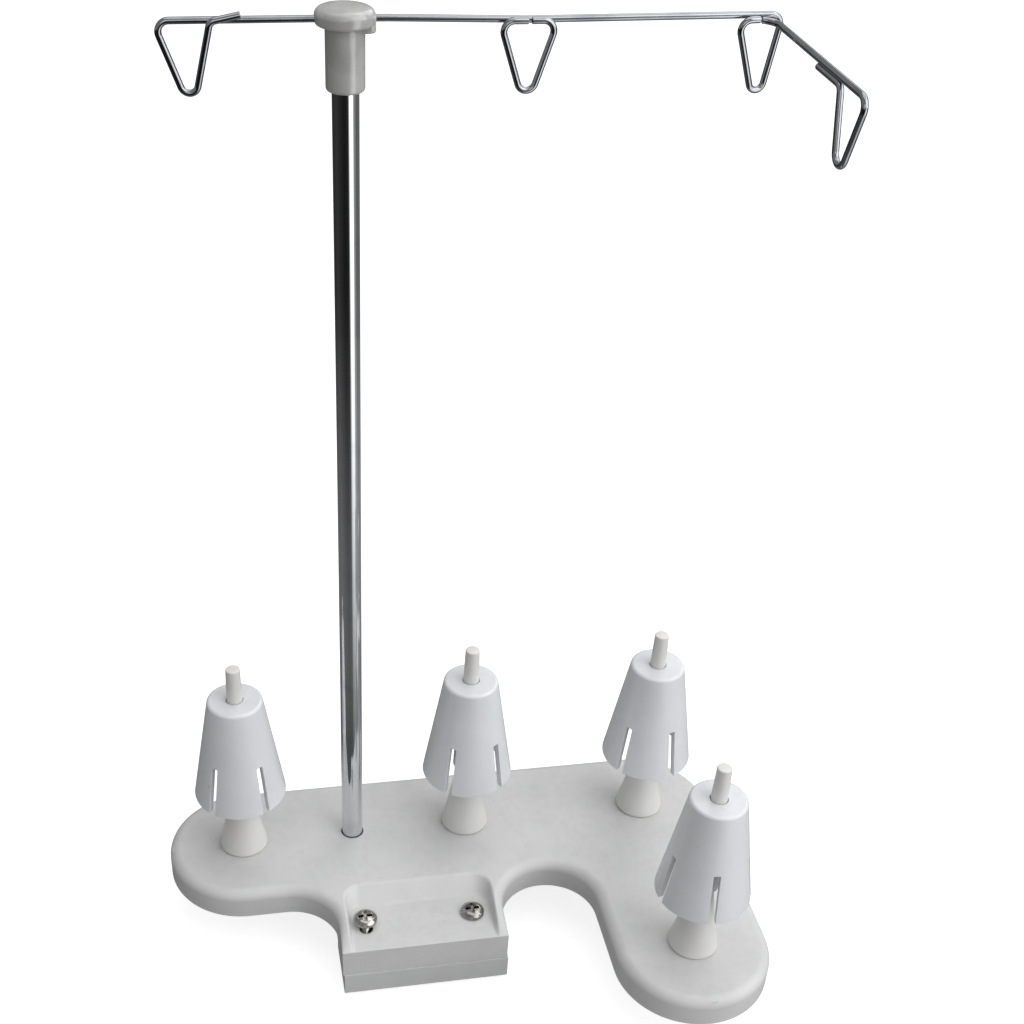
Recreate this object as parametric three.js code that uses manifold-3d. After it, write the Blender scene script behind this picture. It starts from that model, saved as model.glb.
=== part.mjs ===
// Four-cone thread stand for an overlock machine, in millimetres, +Z up.
//
// A moulded base plate carries four spool pins, each with a slotted cone holder pushed over it, and
// one upright steel rod. A plastic head on top of the rod carries bent wires with four thread loops.
// The tab at the plate's front rests on a mounting block, and two long screws go through both.
//
// Everything is drawn in the plate's frame: the rod's axis is x = y = 0 and the plate's top is z = 0.
// +X runs along the row of three cones and -Y points to the machine. The last lines move that frame
// so that the part's origin is the centre of the mounting block's underside.

import * as THREE from "three";
import { mergeVertices } from "three/addons/utils/BufferGeometryUtils.js";
import Module from "manifold-3d";

const wasm = await Module();
wasm.setup();

// ---------------------------------------------------------------- driving sizes

const GAP = 0.3; // between pieces that touch
const RUNNING = 0.1; // radial clearance of a piece that turns on another
const ROUND = 32; // facets of a round piece
const FINE = 20; // facets of a small round piece

// Cone positions: three in a row along X, the fourth in front of the third.
const CONE_X = [-43, 45.5, 118.5];
const CONE_FRONT_Y = -75.5;
// The direction of the first slot of each cone holder, in degrees about Z.
const SLOT_TURN = [-59, -53, -70.5, -97];

const plate = {
  lobe: 29, // radius of the plate's rounded ends, about the pins
  thick: 12,
  skin: 2.6, // top skin
  wall: 2.4,
  edge: 4, // rounding of the top edge
  hollow: 18.5, // radius of the hollow corners beside the tab
  edgeSteps: 4,
  arcStep: 9, // degrees between points on the outline's arcs
};

const tab = {
  left: -10.5,
  width: 63,
  front: -58,
  deep: 23, // front to back, below the plate
  thick: 18, // from the plate's top
  wall: 2.4,
  floor: 2.8,
};

const recess = {
  depth: 6,
  rimFloor: 4.6, // tab's side to the recess, at its floor
  rimTop: 3.3, // the same at the plate's top
  backWall: 0.6, // tab's back edge to the recess, at its floor
  backSlope: 5.9, // the back wall leans back this far
  cornerFloor: 4.5,
  cornerTop: 6.5,
  rampFrom: 9, // the rims slope down to the floor over this length
};

const block = {
  height: 10,
  shift: 0.5, // it sits this far to the right of the tab
  proud: 0.3, // and this far in front of it
  chamfer: 0.5,
};

const mountScrew = {
  r: 2,
  headR: 4.5,
  headH: 2.4,
  length: 25,
  holeClear: 0.6,
  bossWall: 2.4,
  fromLeft: 10.2, // tab's left side to the left screw
  fromRight: 11.6, // tab's right side to the right screw
  fromFront: 13.5,
  slotFront: 4.5, // the left hole is a slot, this much longer to the front
  leftProud: 2, // the left screw isn't driven home
};

const rod = {
  r: 4,
  top: 305.5,
  bottom: -10.5,
  socketClear: 0.45, // between the rod and its hole in the plate
  socketWall: 3.35,
  socketFloor: 4.2,
  boreBeyond: 6.1, // the tapped hole in its lower end goes this far past its screw
};

const rodScrew = { r: 2, headR: 4, headH: 2.4, length: 14, washerOver: 1, washerH: 1 };

const pin = {
  tip: 86.7,
  tipR: 2.63,
  tipChamfer: 0.5,
  // Radius at each height of the flared foot.
  foot: [
    [9.2, 0],
    [9.0, 1.6],
    [7.3, 9],
    [5.5, 19],
    [4.2, 28],
    [3.7, 35],
  ],
  // Radius of the shaft at each distance below the tip.
  shaft: [
    [3.35, 36.7],
    [2.97, 14.2],
  ],
  pilotBeyond: 7.4, // its pilot hole goes this far past its screw
};

const pinScrew = {
  r: 1.5,
  headR: 3,
  headH: 1.8,
  length: 16,
  bossOver: 2.2, // the boss is this much wider than the screw's head, all round
  room: 2.9, // from the boss's lower end to the plate's lower edge, for the head
};

const cone = {
  bottom: 28.1,
  height: 44.4,
  topR: 10.2,
  bottomR: 17.4,
  wall: 2.2,
  edge: 1.3,
  hubWall: 1.3,
  hubClear: 0.2, // between the hub and the pin at the holder's top
  hubSeat: 0.12, // the same at the hub's lower end, which rests on the pin's taper
  hubBottom: 2.5, // height of the hub's lower end above the holder's bottom edge
  slots: 5,
  slotIn: 1.7, // the middle of each slot's cut lies this far inside the bottom edge
  slotReach: 10.2, // radial length of the cut, through the sloping skirt
  slotHeight: 20.5,
  slotWidth: 2.6,
};

const head = {
  grip: 13.3, // length of the rod inside it
  wall: 1.6,
  barAbove: 6.5, // rod's end to the axis of the main wire
  underBar: 1.7, // the axis of the main wire to the cap's underside
  rimAbove: 3, // the axis of the main wire to the cap's rim
  crownRise: 1,
  capOver: 2.9, // the cap is this much wider than the skirt, all round
  edge: 2, // rounding of the cap's top edge
  skirtEdge: 1.1,
  lugDrop: 1.9, // the right-hand lug hangs below the cap
  lugWidth: 7,
  lugFrom: 4,
};

const wire = {
  r: 1,
  facets: 8,
  barDip: 0.9, // it dips a little over the second cone
  bend: 3, // bends at the top of each loop
  apart: 0.25, // between two wires that lie side by side
  bendStep: 18, // degrees between points in a bend
};

const arm = {
  beyond: 6.1, // it runs forward this far to the right of the third cone
  under: 2, // and this far under the bar
  droop: 0.6, // at its front end
  startGap: 0.8, // between its cut end and the end of the third loop
};

const BAR = rod.top + head.barAbove; // height of the main wire
const BESIDE = 2 * wire.r + wire.apart; // between the axes of two wires that lie side by side
const ARM_X = CONE_X[2] + arm.beyond;
const ARM_Z = BAR - arm.under;

// Each loop hangs from two top corners to one lower tip: places along the wire from its own cone,
// and the tip's distance below the wire. The legs would meet at that tip, and `bend` rounds it.
// The cut end lies along the wire for the length `tail`.
function hung(cone, height, { near, far, tip, drop, bend, tail }) {
  return { near: cone + near, far: cone + far, tip: cone + tip, tipZ: height - drop, bend, tail };
}
const loop1 = hung(CONE_X[0], BAR, { near: 5.8, far: -9.6, tip: -0.4, drop: 25.5, bend: 2.5, tail: 8.4 });
const loop2 = hung(CONE_X[1], BAR, { near: -1.9, far: 14.9, tip: 6.8, drop: 26, bend: 2.7, tail: 0 });
const loop3 = hung(CONE_X[2], BAR, { near: -4.6, far: 9.5, tip: 4.9, drop: 29.2, bend: 2.4, tail: 6.6 });
const loop4 = hung(CONE_FRONT_Y, ARM_Z, {
  near: 20.4,
  far: 2.6,
  tip: 13.7,
  drop: 28.8,
  bend: 3.5,
  tail: 16.5,
});

// ---------------------------------------------------------------- solids

const deg = THREE.MathUtils.degToRad;

function solidOf(geometry) {
  const bare = geometry.clone();
  bare.deleteAttribute("normal");
  bare.deleteAttribute("uv");
  const merged = mergeVertices(bare, 1e-4);
  return new wasm.Manifold(
    new wasm.Mesh({
      numProp: 3,
      vertProperties: new Float32Array(merged.attributes.position.array),
      triVerts: new Uint32Array(merged.index.array),
    }),
  );
}

function geometryOf(solid) {
  const mesh = solid.getMesh();
  const geometry = new THREE.BufferGeometry();
  const stride = mesh.numProp;
  const points = new Float32Array((mesh.vertProperties.length / stride) * 3);
  for (let i = 0; i < points.length / 3; i++)
    for (let k = 0; k < 3; k++) points[3 * i + k] = mesh.vertProperties[stride * i + k];
  geometry.setAttribute("position", new THREE.BufferAttribute(points, 3));
  geometry.setIndex(new THREE.BufferAttribute(new Uint32Array(mesh.triVerts), 1));
  return geometry;
}

// A closed body through rings of points, one ring at each height; all rings have as many points.
function loft(rings) {
  const count = rings[0].points.length;
  const vertices = [];
  for (const ring of rings)
    for (const p of ring.points) vertices.push(p.x, p.y, ring.z);
  const faces = [];
  for (let k = 0; k + 1 < rings.length; k++)
    for (let i = 0; i < count; i++) {
      const j = (i + 1) % count;
      const a = k * count;
      const b = a + count;
      faces.push(a + i, a + j, b + j, a + i, b + j, b + i);
    }
  const top = (rings.length - 1) * count;
  for (const [a, b, c] of THREE.ShapeUtils.triangulateShape(rings[0].points, []))
    faces.push(c, b, a);
  for (const [a, b, c] of THREE.ShapeUtils.triangulateShape(rings.at(-1).points, []))
    faces.push(top + a, top + b, top + c);
  const geometry = new THREE.BufferGeometry();
  geometry.setAttribute("position", new THREE.Float32BufferAttribute(vertices, 3));
  geometry.setIndex(faces);
  return solidOf(geometry);
}

// A body of revolution about Z at (x, y): the profile is [radius, height] pairs, up the outside.
function turned(profile, x = 0, y = 0, facets = ROUND) {
  const points = profile.map(([r, z]) => new THREE.Vector2(r, z));
  const geometry = new THREE.LatheGeometry(points, facets);
  geometry.rotateX(Math.PI / 2);
  geometry.translate(x, y, 0);
  return solidOf(geometry);
}

function cylinder(r, from, to, x = 0, y = 0, facets = ROUND) {
  return turned([[0, from], [r, from], [r, to], [0, to]], x, y, facets);
}

function box(x0, x1, y0, y1, z0, z1) {
  const geometry = new THREE.BoxGeometry(x1 - x0, y1 - y0, z1 - z0);
  geometry.translate((x0 + x1) / 2, (y0 + y1) / 2, (z0 + z1) / 2);
  return solidOf(geometry);
}

// Points on an arc, from one angle to another in degrees, both ends included.
function arc(cx, cy, r, from, to, step = plate.arcStep) {
  const steps = Math.max(1, Math.round(Math.abs(to - from) / step));
  return Array.from({ length: steps + 1 }, (_, i) => {
    const a = deg(from + ((to - from) * i) / steps);
    return new THREE.Vector2(cx + r * Math.cos(a), cy + r * Math.sin(a));
  });
}

const joined = (solids) => solids.reduce((all, one) => all.add(one));

// ---------------------------------------------------------------- base plate

const tabRight = tab.left + tab.width;
const tabBack = tab.front + tab.deep;
const rowRight = CONE_X[2];
const lobeLeft = rowRight - plate.lobe;
// The hollow corners are no rounder than the room beside the tab lets them be.
const notchR = Math.min(plate.hollow, (lobeLeft - tabRight) / 2, -tab.front - plate.lobe);
const notchY = -plate.lobe - notchR;
const recessBackFloor = tabBack - recess.backWall;
const recessBackTop = recessBackFloor + recess.backSlope;
const pinPlaces = [...CONE_X.map((x) => [x, 0]), [rowRight, CONE_FRONT_Y]];
const screwPlaces = [tab.left + mountScrew.fromLeft, tabRight - mountScrew.fromRight];
const screwY = tab.front + mountScrew.fromFront;
const screwHole = mountScrew.r + mountScrew.holeClear;
const pinBossBottom = -plate.thick + pinScrew.room;
const pinSeat = pinBossBottom - GAP;
const rodHole = rod.r + rod.socketClear;
const socketBottom = rod.bottom - GAP - rod.socketFloor;
const washerTop = socketBottom - GAP;
const washerBottom = washerTop - rodScrew.washerH;
const rodScrewSeat = washerBottom - GAP;

// The plate's outline, anticlockwise from above and moved inwards by `inset`: round ends about the
// pins, the tab in front, and the two hollow corners beside the tab.
function outline(inset) {
  const r = plate.lobe - inset;
  const hollow = notchR + inset;
  const points = [
    ...arc(CONE_X[0], 0, r, 90, 270),
    ...arc(tab.left - notchR, notchY, hollow, 90, 0),
    new THREE.Vector2(tab.left + inset, tab.front + inset),
    new THREE.Vector2(tabRight - inset, tab.front + inset),
    ...arc(tabRight + notchR, notchY, hollow, 180, 90),
    ...arc(lobeLeft - notchR, notchY, hollow, 90, 0),
    ...arc(rowRight, CONE_FRONT_Y, r, 180, 360),
    ...arc(rowRight, 0, r, 0, 90),
  ];
  return points.filter((p, i) => i === 0 || p.distanceTo(points[i - 1]) > 1e-6);
}

// The recess in the tab: open at the front, sloping walls, round inner corners.
function recessRing(z, rim, back, corner) {
  const x0 = tab.left + rim;
  const x1 = tabRight - rim;
  return {
    z,
    points: [
      new THREE.Vector2(x0, tab.front - 5),
      new THREE.Vector2(x1, tab.front - 5),
      ...arc(x1 - corner, back - corner, corner, 0, 90, 15),
      ...arc(x0 + corner, back - corner, corner, 90, 180, 15),
    ],
  };
}

function basePlate() {
  const rings = [{ z: -plate.thick, points: outline(0) }];
  for (let i = 0; i <= plate.edgeSteps; i++) {
    const a = deg((90 * i) / plate.edgeSteps);
    const inset = plate.edge * (1 - Math.cos(a));
    rings.push({ z: -plate.edge * (1 - Math.sin(a)), points: outline(inset) });
  }
  let solid = loft(rings);
  solid = solid.add(
    box(tab.left, tabRight, tab.front, tabBack, -tab.thick, -plate.thick + 1),
  );

  // Hollow underside, with the tab's own pocket below the recess floor.
  const pocket = outline(plate.wall);
  const pocketTop = -plate.skin;
  const tabTop = -recess.depth - tab.floor;
  const tabRoom = box(
    tab.left + tab.wall, tabRight - tab.wall, tab.front + tab.wall, tabBack - tab.wall,
    -tab.thick - 1, tabTop,
  );
  const plateRoom = loft([
    { z: -plate.thick - 1, points: pocket },
    { z: pocketTop, points: pocket },
  ]).subtract(
    box(tab.left - 1, tabRight + 1, tab.front - 1, recessBackTop + plate.wall, -20, 1),
  );
  const hollow = plateRoom.add(tabRoom);

  // Ribs along and across, and bosses for the pins, the rod and the two long screws.
  const ribHalf = 0.9;
  const ribBottom = pinBossBottom + 0.5; // clear of the screw heads
  const pinLeft = CONE_X[0];
  const ribs = [
    box(pinLeft, rowRight, -ribHalf, ribHalf, ribBottom, 0),
    box(rowRight - ribHalf, rowRight + ribHalf, CONE_FRONT_Y, 0, ribBottom, 0),
    box(-ribHalf, ribHalf, recessBackTop, plate.lobe, ribBottom, 0),
    box(CONE_X[1] - ribHalf, CONE_X[1] + ribHalf, recessBackTop, plate.lobe, ribBottom, 0),
  ];
  const tabMiddle = (tab.left + tabRight) / 2;
  ribs.push(box(tabMiddle - 3, tabMiddle + 3, tab.front, tabBack, -tab.thick, tabTop + 1));
  const pinBosses = pinPlaces.map(([x, y]) =>
    cylinder(pinScrew.headR + pinScrew.bossOver, pinBossBottom, -1, x, y, FINE),
  );
  const screwBosses = screwPlaces.map((x) =>
    cylinder(screwHole + mountScrew.bossWall, -tab.thick, tabTop + 1, x, screwY, FINE),
  );
  const slotY = screwY - mountScrew.slotFront;
  screwBosses.push(
    cylinder(screwHole + mountScrew.bossWall, -tab.thick, tabTop + 1, screwPlaces[0], slotY, FINE),
  );
  const socket = cylinder(rodHole + rod.socketWall, socketBottom, -1, 0, 0, FINE);
  const inside = loft([
    { z: socketBottom - tab.thick, points: outline(1) },
    { z: -1, points: outline(1) },
  ]);
  const stiffening = joined([...ribs, ...pinBosses, ...screwBosses, socket]).intersect(inside);
  solid = solid.subtract(hollow).add(stiffening);

  // The recess, and the rims beside it that slope down to its floor at the front.
  solid = solid.subtract(
    loft([
      recessRing(-recess.depth, recess.rimFloor, recessBackFloor, recess.cornerFloor),
      recessRing(0, recess.rimTop, recessBackTop, recess.cornerTop),
      recessRing(1, recess.rimTop, recessBackTop, recess.cornerTop),
    ]),
  );
  const ramp = new THREE.Shape([
    new THREE.Vector2(tab.front + recess.rampFrom, 0.01),
    new THREE.Vector2(tab.front - 1, -recess.depth * (1 + 1 / recess.rampFrom)),
    new THREE.Vector2(tab.front - 1, 1),
    new THREE.Vector2(tab.front + recess.rampFrom, 1),
  ]);
  const rampCut = new THREE.ExtrudeGeometry(ramp, { depth: tab.width + 2, bevelEnabled: false });
  // The profile's x and y become Y and Z, and the extrusion runs along X.
  rampCut.applyMatrix4(new THREE.Matrix4().set(0, 0, 1, tab.left - 1, 1, 0, 0, 0, 0, 1, 0, 0, 0, 0, 0, 1));
  solid = solid.subtract(solidOf(rampCut));

  // Holes: rod socket, its screw, pin screws and the two long screws.
  solid = solid.subtract(cylinder(rodHole, rod.bottom - GAP, 1));
  solid = solid.subtract(cylinder(rodScrew.r + GAP, socketBottom - 1, 1, 0, 0, FINE));
  for (const [x, y] of pinPlaces)
    solid = solid.subtract(cylinder(pinScrew.r + GAP, -plate.thick, 1, x, y, FINE));
  for (const x of screwPlaces)
    solid = solid.subtract(cylinder(screwHole, -tab.thick - 1, 1, x, screwY, FINE));
  const [slotX] = screwPlaces;
  const slotEnd = cylinder(screwHole, -tab.thick - 1, 1, slotX, slotY, FINE);
  const slotMiddle = box(slotX - screwHole, slotX + screwHole, slotY, screwY, -tab.thick - 1, 1);
  return solid.subtract(slotEnd).subtract(slotMiddle);
}

// ---------------------------------------------------------------- mounting block and its screws

const blockTop = -tab.thick - GAP;
const blockBottom = -tab.thick - block.height;
const blockMiddle = (tab.left + tabRight) / 2 + block.shift;

function mountBlock() {
  const half = tab.width / 2;
  const corners = (inset) => [
    new THREE.Vector2(blockMiddle - half + inset, tab.front - block.proud + inset),
    new THREE.Vector2(blockMiddle + half - inset, tab.front - block.proud + inset),
    new THREE.Vector2(blockMiddle + half - inset, tabBack - inset),
    new THREE.Vector2(blockMiddle - half + inset, tabBack - inset),
  ];
  const holes = screwPlaces.map((x) =>
    cylinder(screwHole, blockBottom - 1, blockTop + 1, x, screwY, FINE),
  );
  return loft([
    { z: blockBottom, points: corners(0) },
    { z: blockTop - block.chamfer, points: corners(0) },
    { z: blockTop, points: corners(block.chamfer) },
  ]).subtract(joined(holes));
}

// A cross recess cut into the crown of a pan head whose top is at `top`.
function crossRecess(size, top, x, y) {
  const wide = size * 0.22;
  const ring = (a, b, z) => ({
    z,
    points: [[-a, -b], [a, -b], [a, b], [-a, b]].map(([u, v]) => new THREE.Vector2(x + u, y + v)),
  });
  const depth = size * 0.55;
  const deep = [ring(size * 0.3, wide * 0.8, top - depth), ring(size * 0.8, wide, top + 1)];
  const across = [ring(wide * 0.8, size * 0.3, top - depth), ring(wide, size * 0.8, top + 1)];
  return loft(deep).add(loft(across));
}

// A pan-head screw, head up, the underside of its head at `seat`.
function panScrew(screw, seat, x, y) {
  const crown = screw.headH;
  const profile = [
    [0, seat - screw.length],
    [screw.r * 0.6, seat - screw.length],
    [screw.r, seat - screw.length + screw.r * 0.5],
    [screw.r, seat],
    [screw.headR * 0.95, seat],
    [screw.headR, seat + crown * 0.12],
    [screw.headR * 0.97, seat + crown * 0.45],
    [screw.headR * 0.85, seat + crown * 0.75],
    [screw.headR * 0.55, seat + crown * 0.95],
    [0, seat + crown],
  ];
  return turned(profile, x, y, FINE).subtract(crossRecess(screw.headR, seat + crown, x, y));
}

// The same screw driven upwards: mirrored about the plane z = seat.
function panScrewUp(screw, seat, x, y) {
  return panScrew(screw, -seat, x, y).mirror([0, 0, 1]);
}

// ---------------------------------------------------------------- spool pins and cone holders

// The outside of a spool pin, which stands on the plate: radius and height above the plate's top.
const pinOutside = [
  ...pin.foot.map(([r, up]) => [r, up + GAP]),
  ...pin.shaft.map(([r, down]) => [r, pin.tip - down + GAP]),
];

function spoolPin(x, y) {
  const outer = [
    [0, GAP],
    ...pinOutside,
    [pin.tipR, pin.tip - pin.tipChamfer],
    [pin.tipR - pin.tipChamfer, pin.tip],
    [0, pin.tip],
  ];
  const pilotTop = pinSeat + pinScrew.length + pin.pilotBeyond;
  const pilot = cylinder(pinScrew.r + GAP, 0, pilotTop, x, y, FINE);
  return turned(outer, x, y).subtract(pilot);
}

// Radius of the spool pin at a height above the plate; above its tip, the tip's radius.
function pinRadius(z) {
  const places = [...pinOutside, [pin.tipR, pin.tip + GAP]];
  const i = places.findIndex(([, up]) => up > z);
  if (i < 1) return pin.tipR;
  const [r0, z0] = places[i - 1];
  const [r1, z1] = places[i];
  return THREE.MathUtils.mapLinear(z, z0, z1, r0, r1);
}

function coneHolder(x, y, turn) {
  const { bottom, height, topR, bottomR, wall, edge } = cone;
  const top = bottom + height;
  const hubBottom = bottom + cone.hubBottom;
  const boreTop = pinRadius(top) + cone.hubClear;
  const boreBottom = pinRadius(hubBottom) + cone.hubSeat;
  const slope = (bottomR - topR) / height;
  const skirt = turned(
    [
      [bottomR - wall, bottom],
      [bottomR, bottom],
      [topR + slope * edge, top - edge],
      [topR - edge * 0.1, top - edge * 0.45],
      [topR - edge * 0.4, top - edge * 0.12],
      [topR - edge, top],
      [boreTop, top],
      [boreTop, top - wall],
      [topR - wall + slope * wall, top - wall],
      [bottomR - wall, bottom],
    ],
    x,
    y,
  );
  const hub = turned(
    [
      [boreBottom, hubBottom],
      [boreBottom + cone.hubWall, hubBottom],
      [boreTop + cone.hubWall, top - wall / 2],
      [boreTop, top - wall / 2],
      [boreBottom, hubBottom],
    ],
    x,
    y,
    FINE,
  );
  let solid = skirt.add(hub);
  for (let i = 0; i < cone.slots; i++) {
    const slot = new THREE.BoxGeometry(cone.slotReach, cone.slotWidth, cone.slotHeight + 1);
    slot.translate(bottomR - cone.slotIn, 0, bottom + (cone.slotHeight - 1) / 2);
    slot.rotateZ(deg(turn + (360 / cone.slots) * i));
    slot.translate(x, y, 0);
    solid = solid.subtract(solidOf(slot));
  }
  return solid;
}

// ---------------------------------------------------------------- rod and head

function guideRod() {
  const chamfer = 0.6;
  const boreTop = rodScrewSeat + rodScrew.length + rod.boreBeyond;
  return turned([
    [0, rod.bottom],
    [rod.r - chamfer, rod.bottom],
    [rod.r, rod.bottom + chamfer],
    [rod.r, rod.top - chamfer],
    [rod.r - chamfer, rod.top],
    [0, rod.top],
  ]).subtract(cylinder(rodScrew.r + GAP, rod.bottom - 1, boreTop, 0, 0, FINE));
}

const skirtR = rod.r + RUNNING + head.wall;
const capR = skirtR + head.capOver;

function guideHead() {
  const { skirtEdge, edge } = head;
  const bottom = rod.top - head.grip;
  const under = BAR - head.underBar;
  const rimTop = BAR + head.rimAbove;
  const crown = rimTop + head.crownRise;
  let solid = turned([
    [0, bottom],
    [skirtR - skirtEdge, bottom],
    [skirtR - skirtEdge * 0.3, bottom + skirtEdge * 0.3],
    [skirtR, bottom + skirtEdge],
    [skirtR, under],
    [capR - skirtEdge * 0.5, under],
    [capR, under + skirtEdge * 0.5],
    [capR, rimTop - edge],
    [capR - edge * 0.13, rimTop - edge * 0.5],
    [capR - edge * 0.5, rimTop - edge * 0.13],
    [capR - edge, rimTop + (crown - rimTop) * 0.12],
    [capR * 0.4, crown - (crown - rimTop) * 0.16],
    [0, crown],
  ]);
  // The lug under the cap where the wire leaves it.
  const lug = box(
    head.lugFrom, capR + 0.4, -head.lugWidth / 2, head.lugWidth / 2,
    under - head.lugDrop, rimTop - edge,
  ).intersect(cylinder(capR, under - head.lugDrop - 1, rimTop));
  solid = solid.add(lug);
  solid = solid.subtract(cylinder(rod.r + RUNNING, bottom - 1, rod.top + GAP));
  const cross = new THREE.CylinderGeometry(wire.r + GAP, wire.r + GAP, capR * 3, FINE);
  cross.rotateZ(Math.PI / 2);
  cross.translate(0, 0, BAR);
  return solid.subtract(solidOf(cross));
}

// ---------------------------------------------------------------- wires

// A path through set points, one section at each, for sweeping a round wire.
class WirePath extends THREE.Curve {
  constructor(points) {
    super();
    this.points = points;
  }

  getPoint(t, target = new THREE.Vector3()) {
    const at = t * (this.points.length - 1);
    const i = Math.min(Math.floor(at), this.points.length - 2);
    return target.lerpVectors(this.points[i], this.points[i + 1], at - i);
  }

  getPointAt(u, target) {
    return this.getPoint(u, target);
  }

  getTangentAt(u, target = new THREE.Vector3()) {
    const last = this.points.length - 1;
    const i = Math.round(u * last);
    const before = this.points[Math.max(i - 1, 0)];
    const after = this.points[Math.min(i + 1, last)];
    return target.subVectors(after, before).normalize();
  }
}

// Straight legs between corners [x, y, z, radius], with a circular bend at each corner.
function bentPath(corners) {
  const at = corners.map(([x, y, z]) => new THREE.Vector3(x, y, z));
  const points = [at[0]];
  for (let i = 1; i + 1 < at.length; i++) {
    const back = at[i - 1].clone().sub(at[i]).normalize();
    const on = at[i + 1].clone().sub(at[i]).normalize();
    const angle = back.angleTo(on); // between the two legs
    const r = corners[i][3];
    const cut = r / Math.tan(angle / 2);
    const towards = back.clone().add(on).normalize();
    const centre = at[i].clone().addScaledVector(towards, r / Math.sin(angle / 2));
    const from = at[i].clone().addScaledVector(back, cut).sub(centre);
    const to = at[i].clone().addScaledVector(on, cut).sub(centre);
    const turn = from.angleTo(to);
    const axis = from.clone().cross(to).normalize();
    const steps = Math.max(1, Math.ceil(turn / deg(wire.bendStep)));
    for (let k = 0; k <= steps; k++)
      points.push(from.clone().applyAxisAngle(axis, (turn * k) / steps).add(centre));
  }
  points.push(at.at(-1));
  return points;
}

function bentWire(corners) {
  const points = bentPath(corners);
  const section = new THREE.Shape();
  for (let i = 0; i < wire.facets; i++) {
    const a = (2 * Math.PI * i) / wire.facets;
    section[i ? "lineTo" : "moveTo"](wire.r * Math.cos(a), wire.r * Math.sin(a));
  }
  const swept = new THREE.ExtrudeGeometry(section, {
    steps: points.length - 1,
    extrudePath: new WirePath(points),
    bevelEnabled: false,
  });
  return solidOf(swept);
}

// The main wire: loop 1 at its left end, the straight bar through the head, loop 3 at its right end.
// The cut end of each loop comes back beside the bar, in front of it.
function mainWire() {
  const { bend, barDip } = wire;
  return bentWire([
    [loop1.near + loop1.tail, -BESIDE, BAR + 1.8],
    [loop1.near, -BESIDE, BAR + 0.1, bend * 0.7],
    [loop1.tip, -BESIDE * 0.3, loop1.tipZ, loop1.bend],
    [loop1.far, 0, BAR, bend],
    [capR * -1.4, 0, BAR, 40],
    [capR * 1.4, 0, BAR, 40],
    [loop2.tip, 0, BAR - barDip, 60],
    [loop3.far, 0, BAR - barDip * 0.5, bend],
    [loop3.tip, -BESIDE * 0.3, loop3.tipZ, loop3.bend],
    [loop3.near, -BESIDE, BAR - 1.5, bend],
    [loop3.near + loop3.tail, -BESIDE, BAR - 1.3],
  ]);
}

// Loop 2: a closed triangle of wire in front of the bar, its two ends meeting under the middle.
function secondLoop() {
  const y = -BESIDE;
  const z = BAR - wire.barDip + 0.2;
  const middle = loop2.tip;
  const gap = 0.5;
  return bentWire([
    [middle - gap, y, z],
    [loop2.near, y, z, wire.bend],
    [loop2.tip, y, loop2.tipZ, loop2.bend],
    [loop2.far, y, z, wire.bend],
    [middle + gap, y, z],
  ]);
}

// The arm from the third cone forward to the fourth, with loop 4 bent from its front end.
function frontArm() {
  const { bend } = wire;
  const start = loop3.near + loop3.tail + arm.startGap;
  return bentWire([
    [start, -BESIDE, ARM_Z + 0.5],
    [ARM_X + 0.4, -BESIDE - 0.4, ARM_Z + 0.2, 4.4],
    [ARM_X, loop4.far, ARM_Z - arm.droop, bend],
    [ARM_X, loop4.tip, loop4.tipZ, loop4.bend],
    [ARM_X, loop4.near, ARM_Z - BESIDE, bend * 0.8],
    [ARM_X, loop4.near + loop4.tail, ARM_Z - BESIDE + 0.2],
  ]);
}

// ---------------------------------------------------------------- materials and assembly

const finish = (color, roughness, metalness = 0) => () =>
  new THREE.MeshStandardMaterial({ color, roughness, metalness });

const greyPlastic = finish(0xc6c7c7, 0.45);
const whitePlastic = finish(0xd9d7d1, 0.4);
const clearPlastic = finish(0xd5d9de, 0.3);
const headPlastic = finish(0xb9b8b4, 0.2);
const chrome = finish(0xb4b6ba, 0.12, 1);
const nickel = finish(0xa9a7a2, 0.25, 1);
const zinc = finish(0x9d9fa3, 0.4, 1);

const frame = new THREE.Group();

function piece(name, solid, material) {
  const mesh = new THREE.Mesh(geometryOf(solid), material());
  mesh.name = name;
  frame.add(mesh);
}

piece("base_plate", basePlate(), greyPlastic);
piece("mount_block", mountBlock(), greyPlastic);

const screwSeat = -recess.depth + GAP;
const [leftScrew, rightScrew] = screwPlaces;
piece(
  "mount_screw_left",
  panScrew(mountScrew, screwSeat + mountScrew.leftProud, leftScrew, screwY),
  nickel,
);
piece("mount_screw_right", panScrew(mountScrew, screwSeat, rightScrew, screwY), nickel);

pinPlaces.forEach(([x, y], i) => {
  const n = i + 1;
  piece(`spool_pin_${n}`, spoolPin(x, y), whitePlastic);
  piece(`pin_screw_${n}`, panScrewUp(pinScrew, pinSeat, x, y), zinc);
  piece(`cone_holder_${n}`, coneHolder(x, y, SLOT_TURN[i]), clearPlastic);
});

piece("guide_rod", guideRod(), chrome);
piece(
  "rod_washer",
  cylinder(rodScrew.headR + rodScrew.washerOver, washerBottom, washerTop, 0, 0, FINE).subtract(
    cylinder(rodScrew.r + GAP, washerBottom - 1, washerTop + 1, 0, 0, FINE),
  ),
  zinc,
);
piece("rod_screw", panScrewUp(rodScrew, rodScrewSeat, 0, 0), zinc);
piece("guide_head", guideHead(), headPlastic);
piece("guide_wire_main", mainWire(), chrome);
piece("guide_loop_2", secondLoop(), chrome);
piece("guide_arm_front", frontArm(), chrome);

// The origin is the centre of the mounting block's underside.
const blockFront = tab.front - block.proud;
frame.position.set(-blockMiddle, -(blockFront + tabBack) / 2, -blockBottom);

const stand = new THREE.Group();
stand.add(frame);

export default stand;
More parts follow.
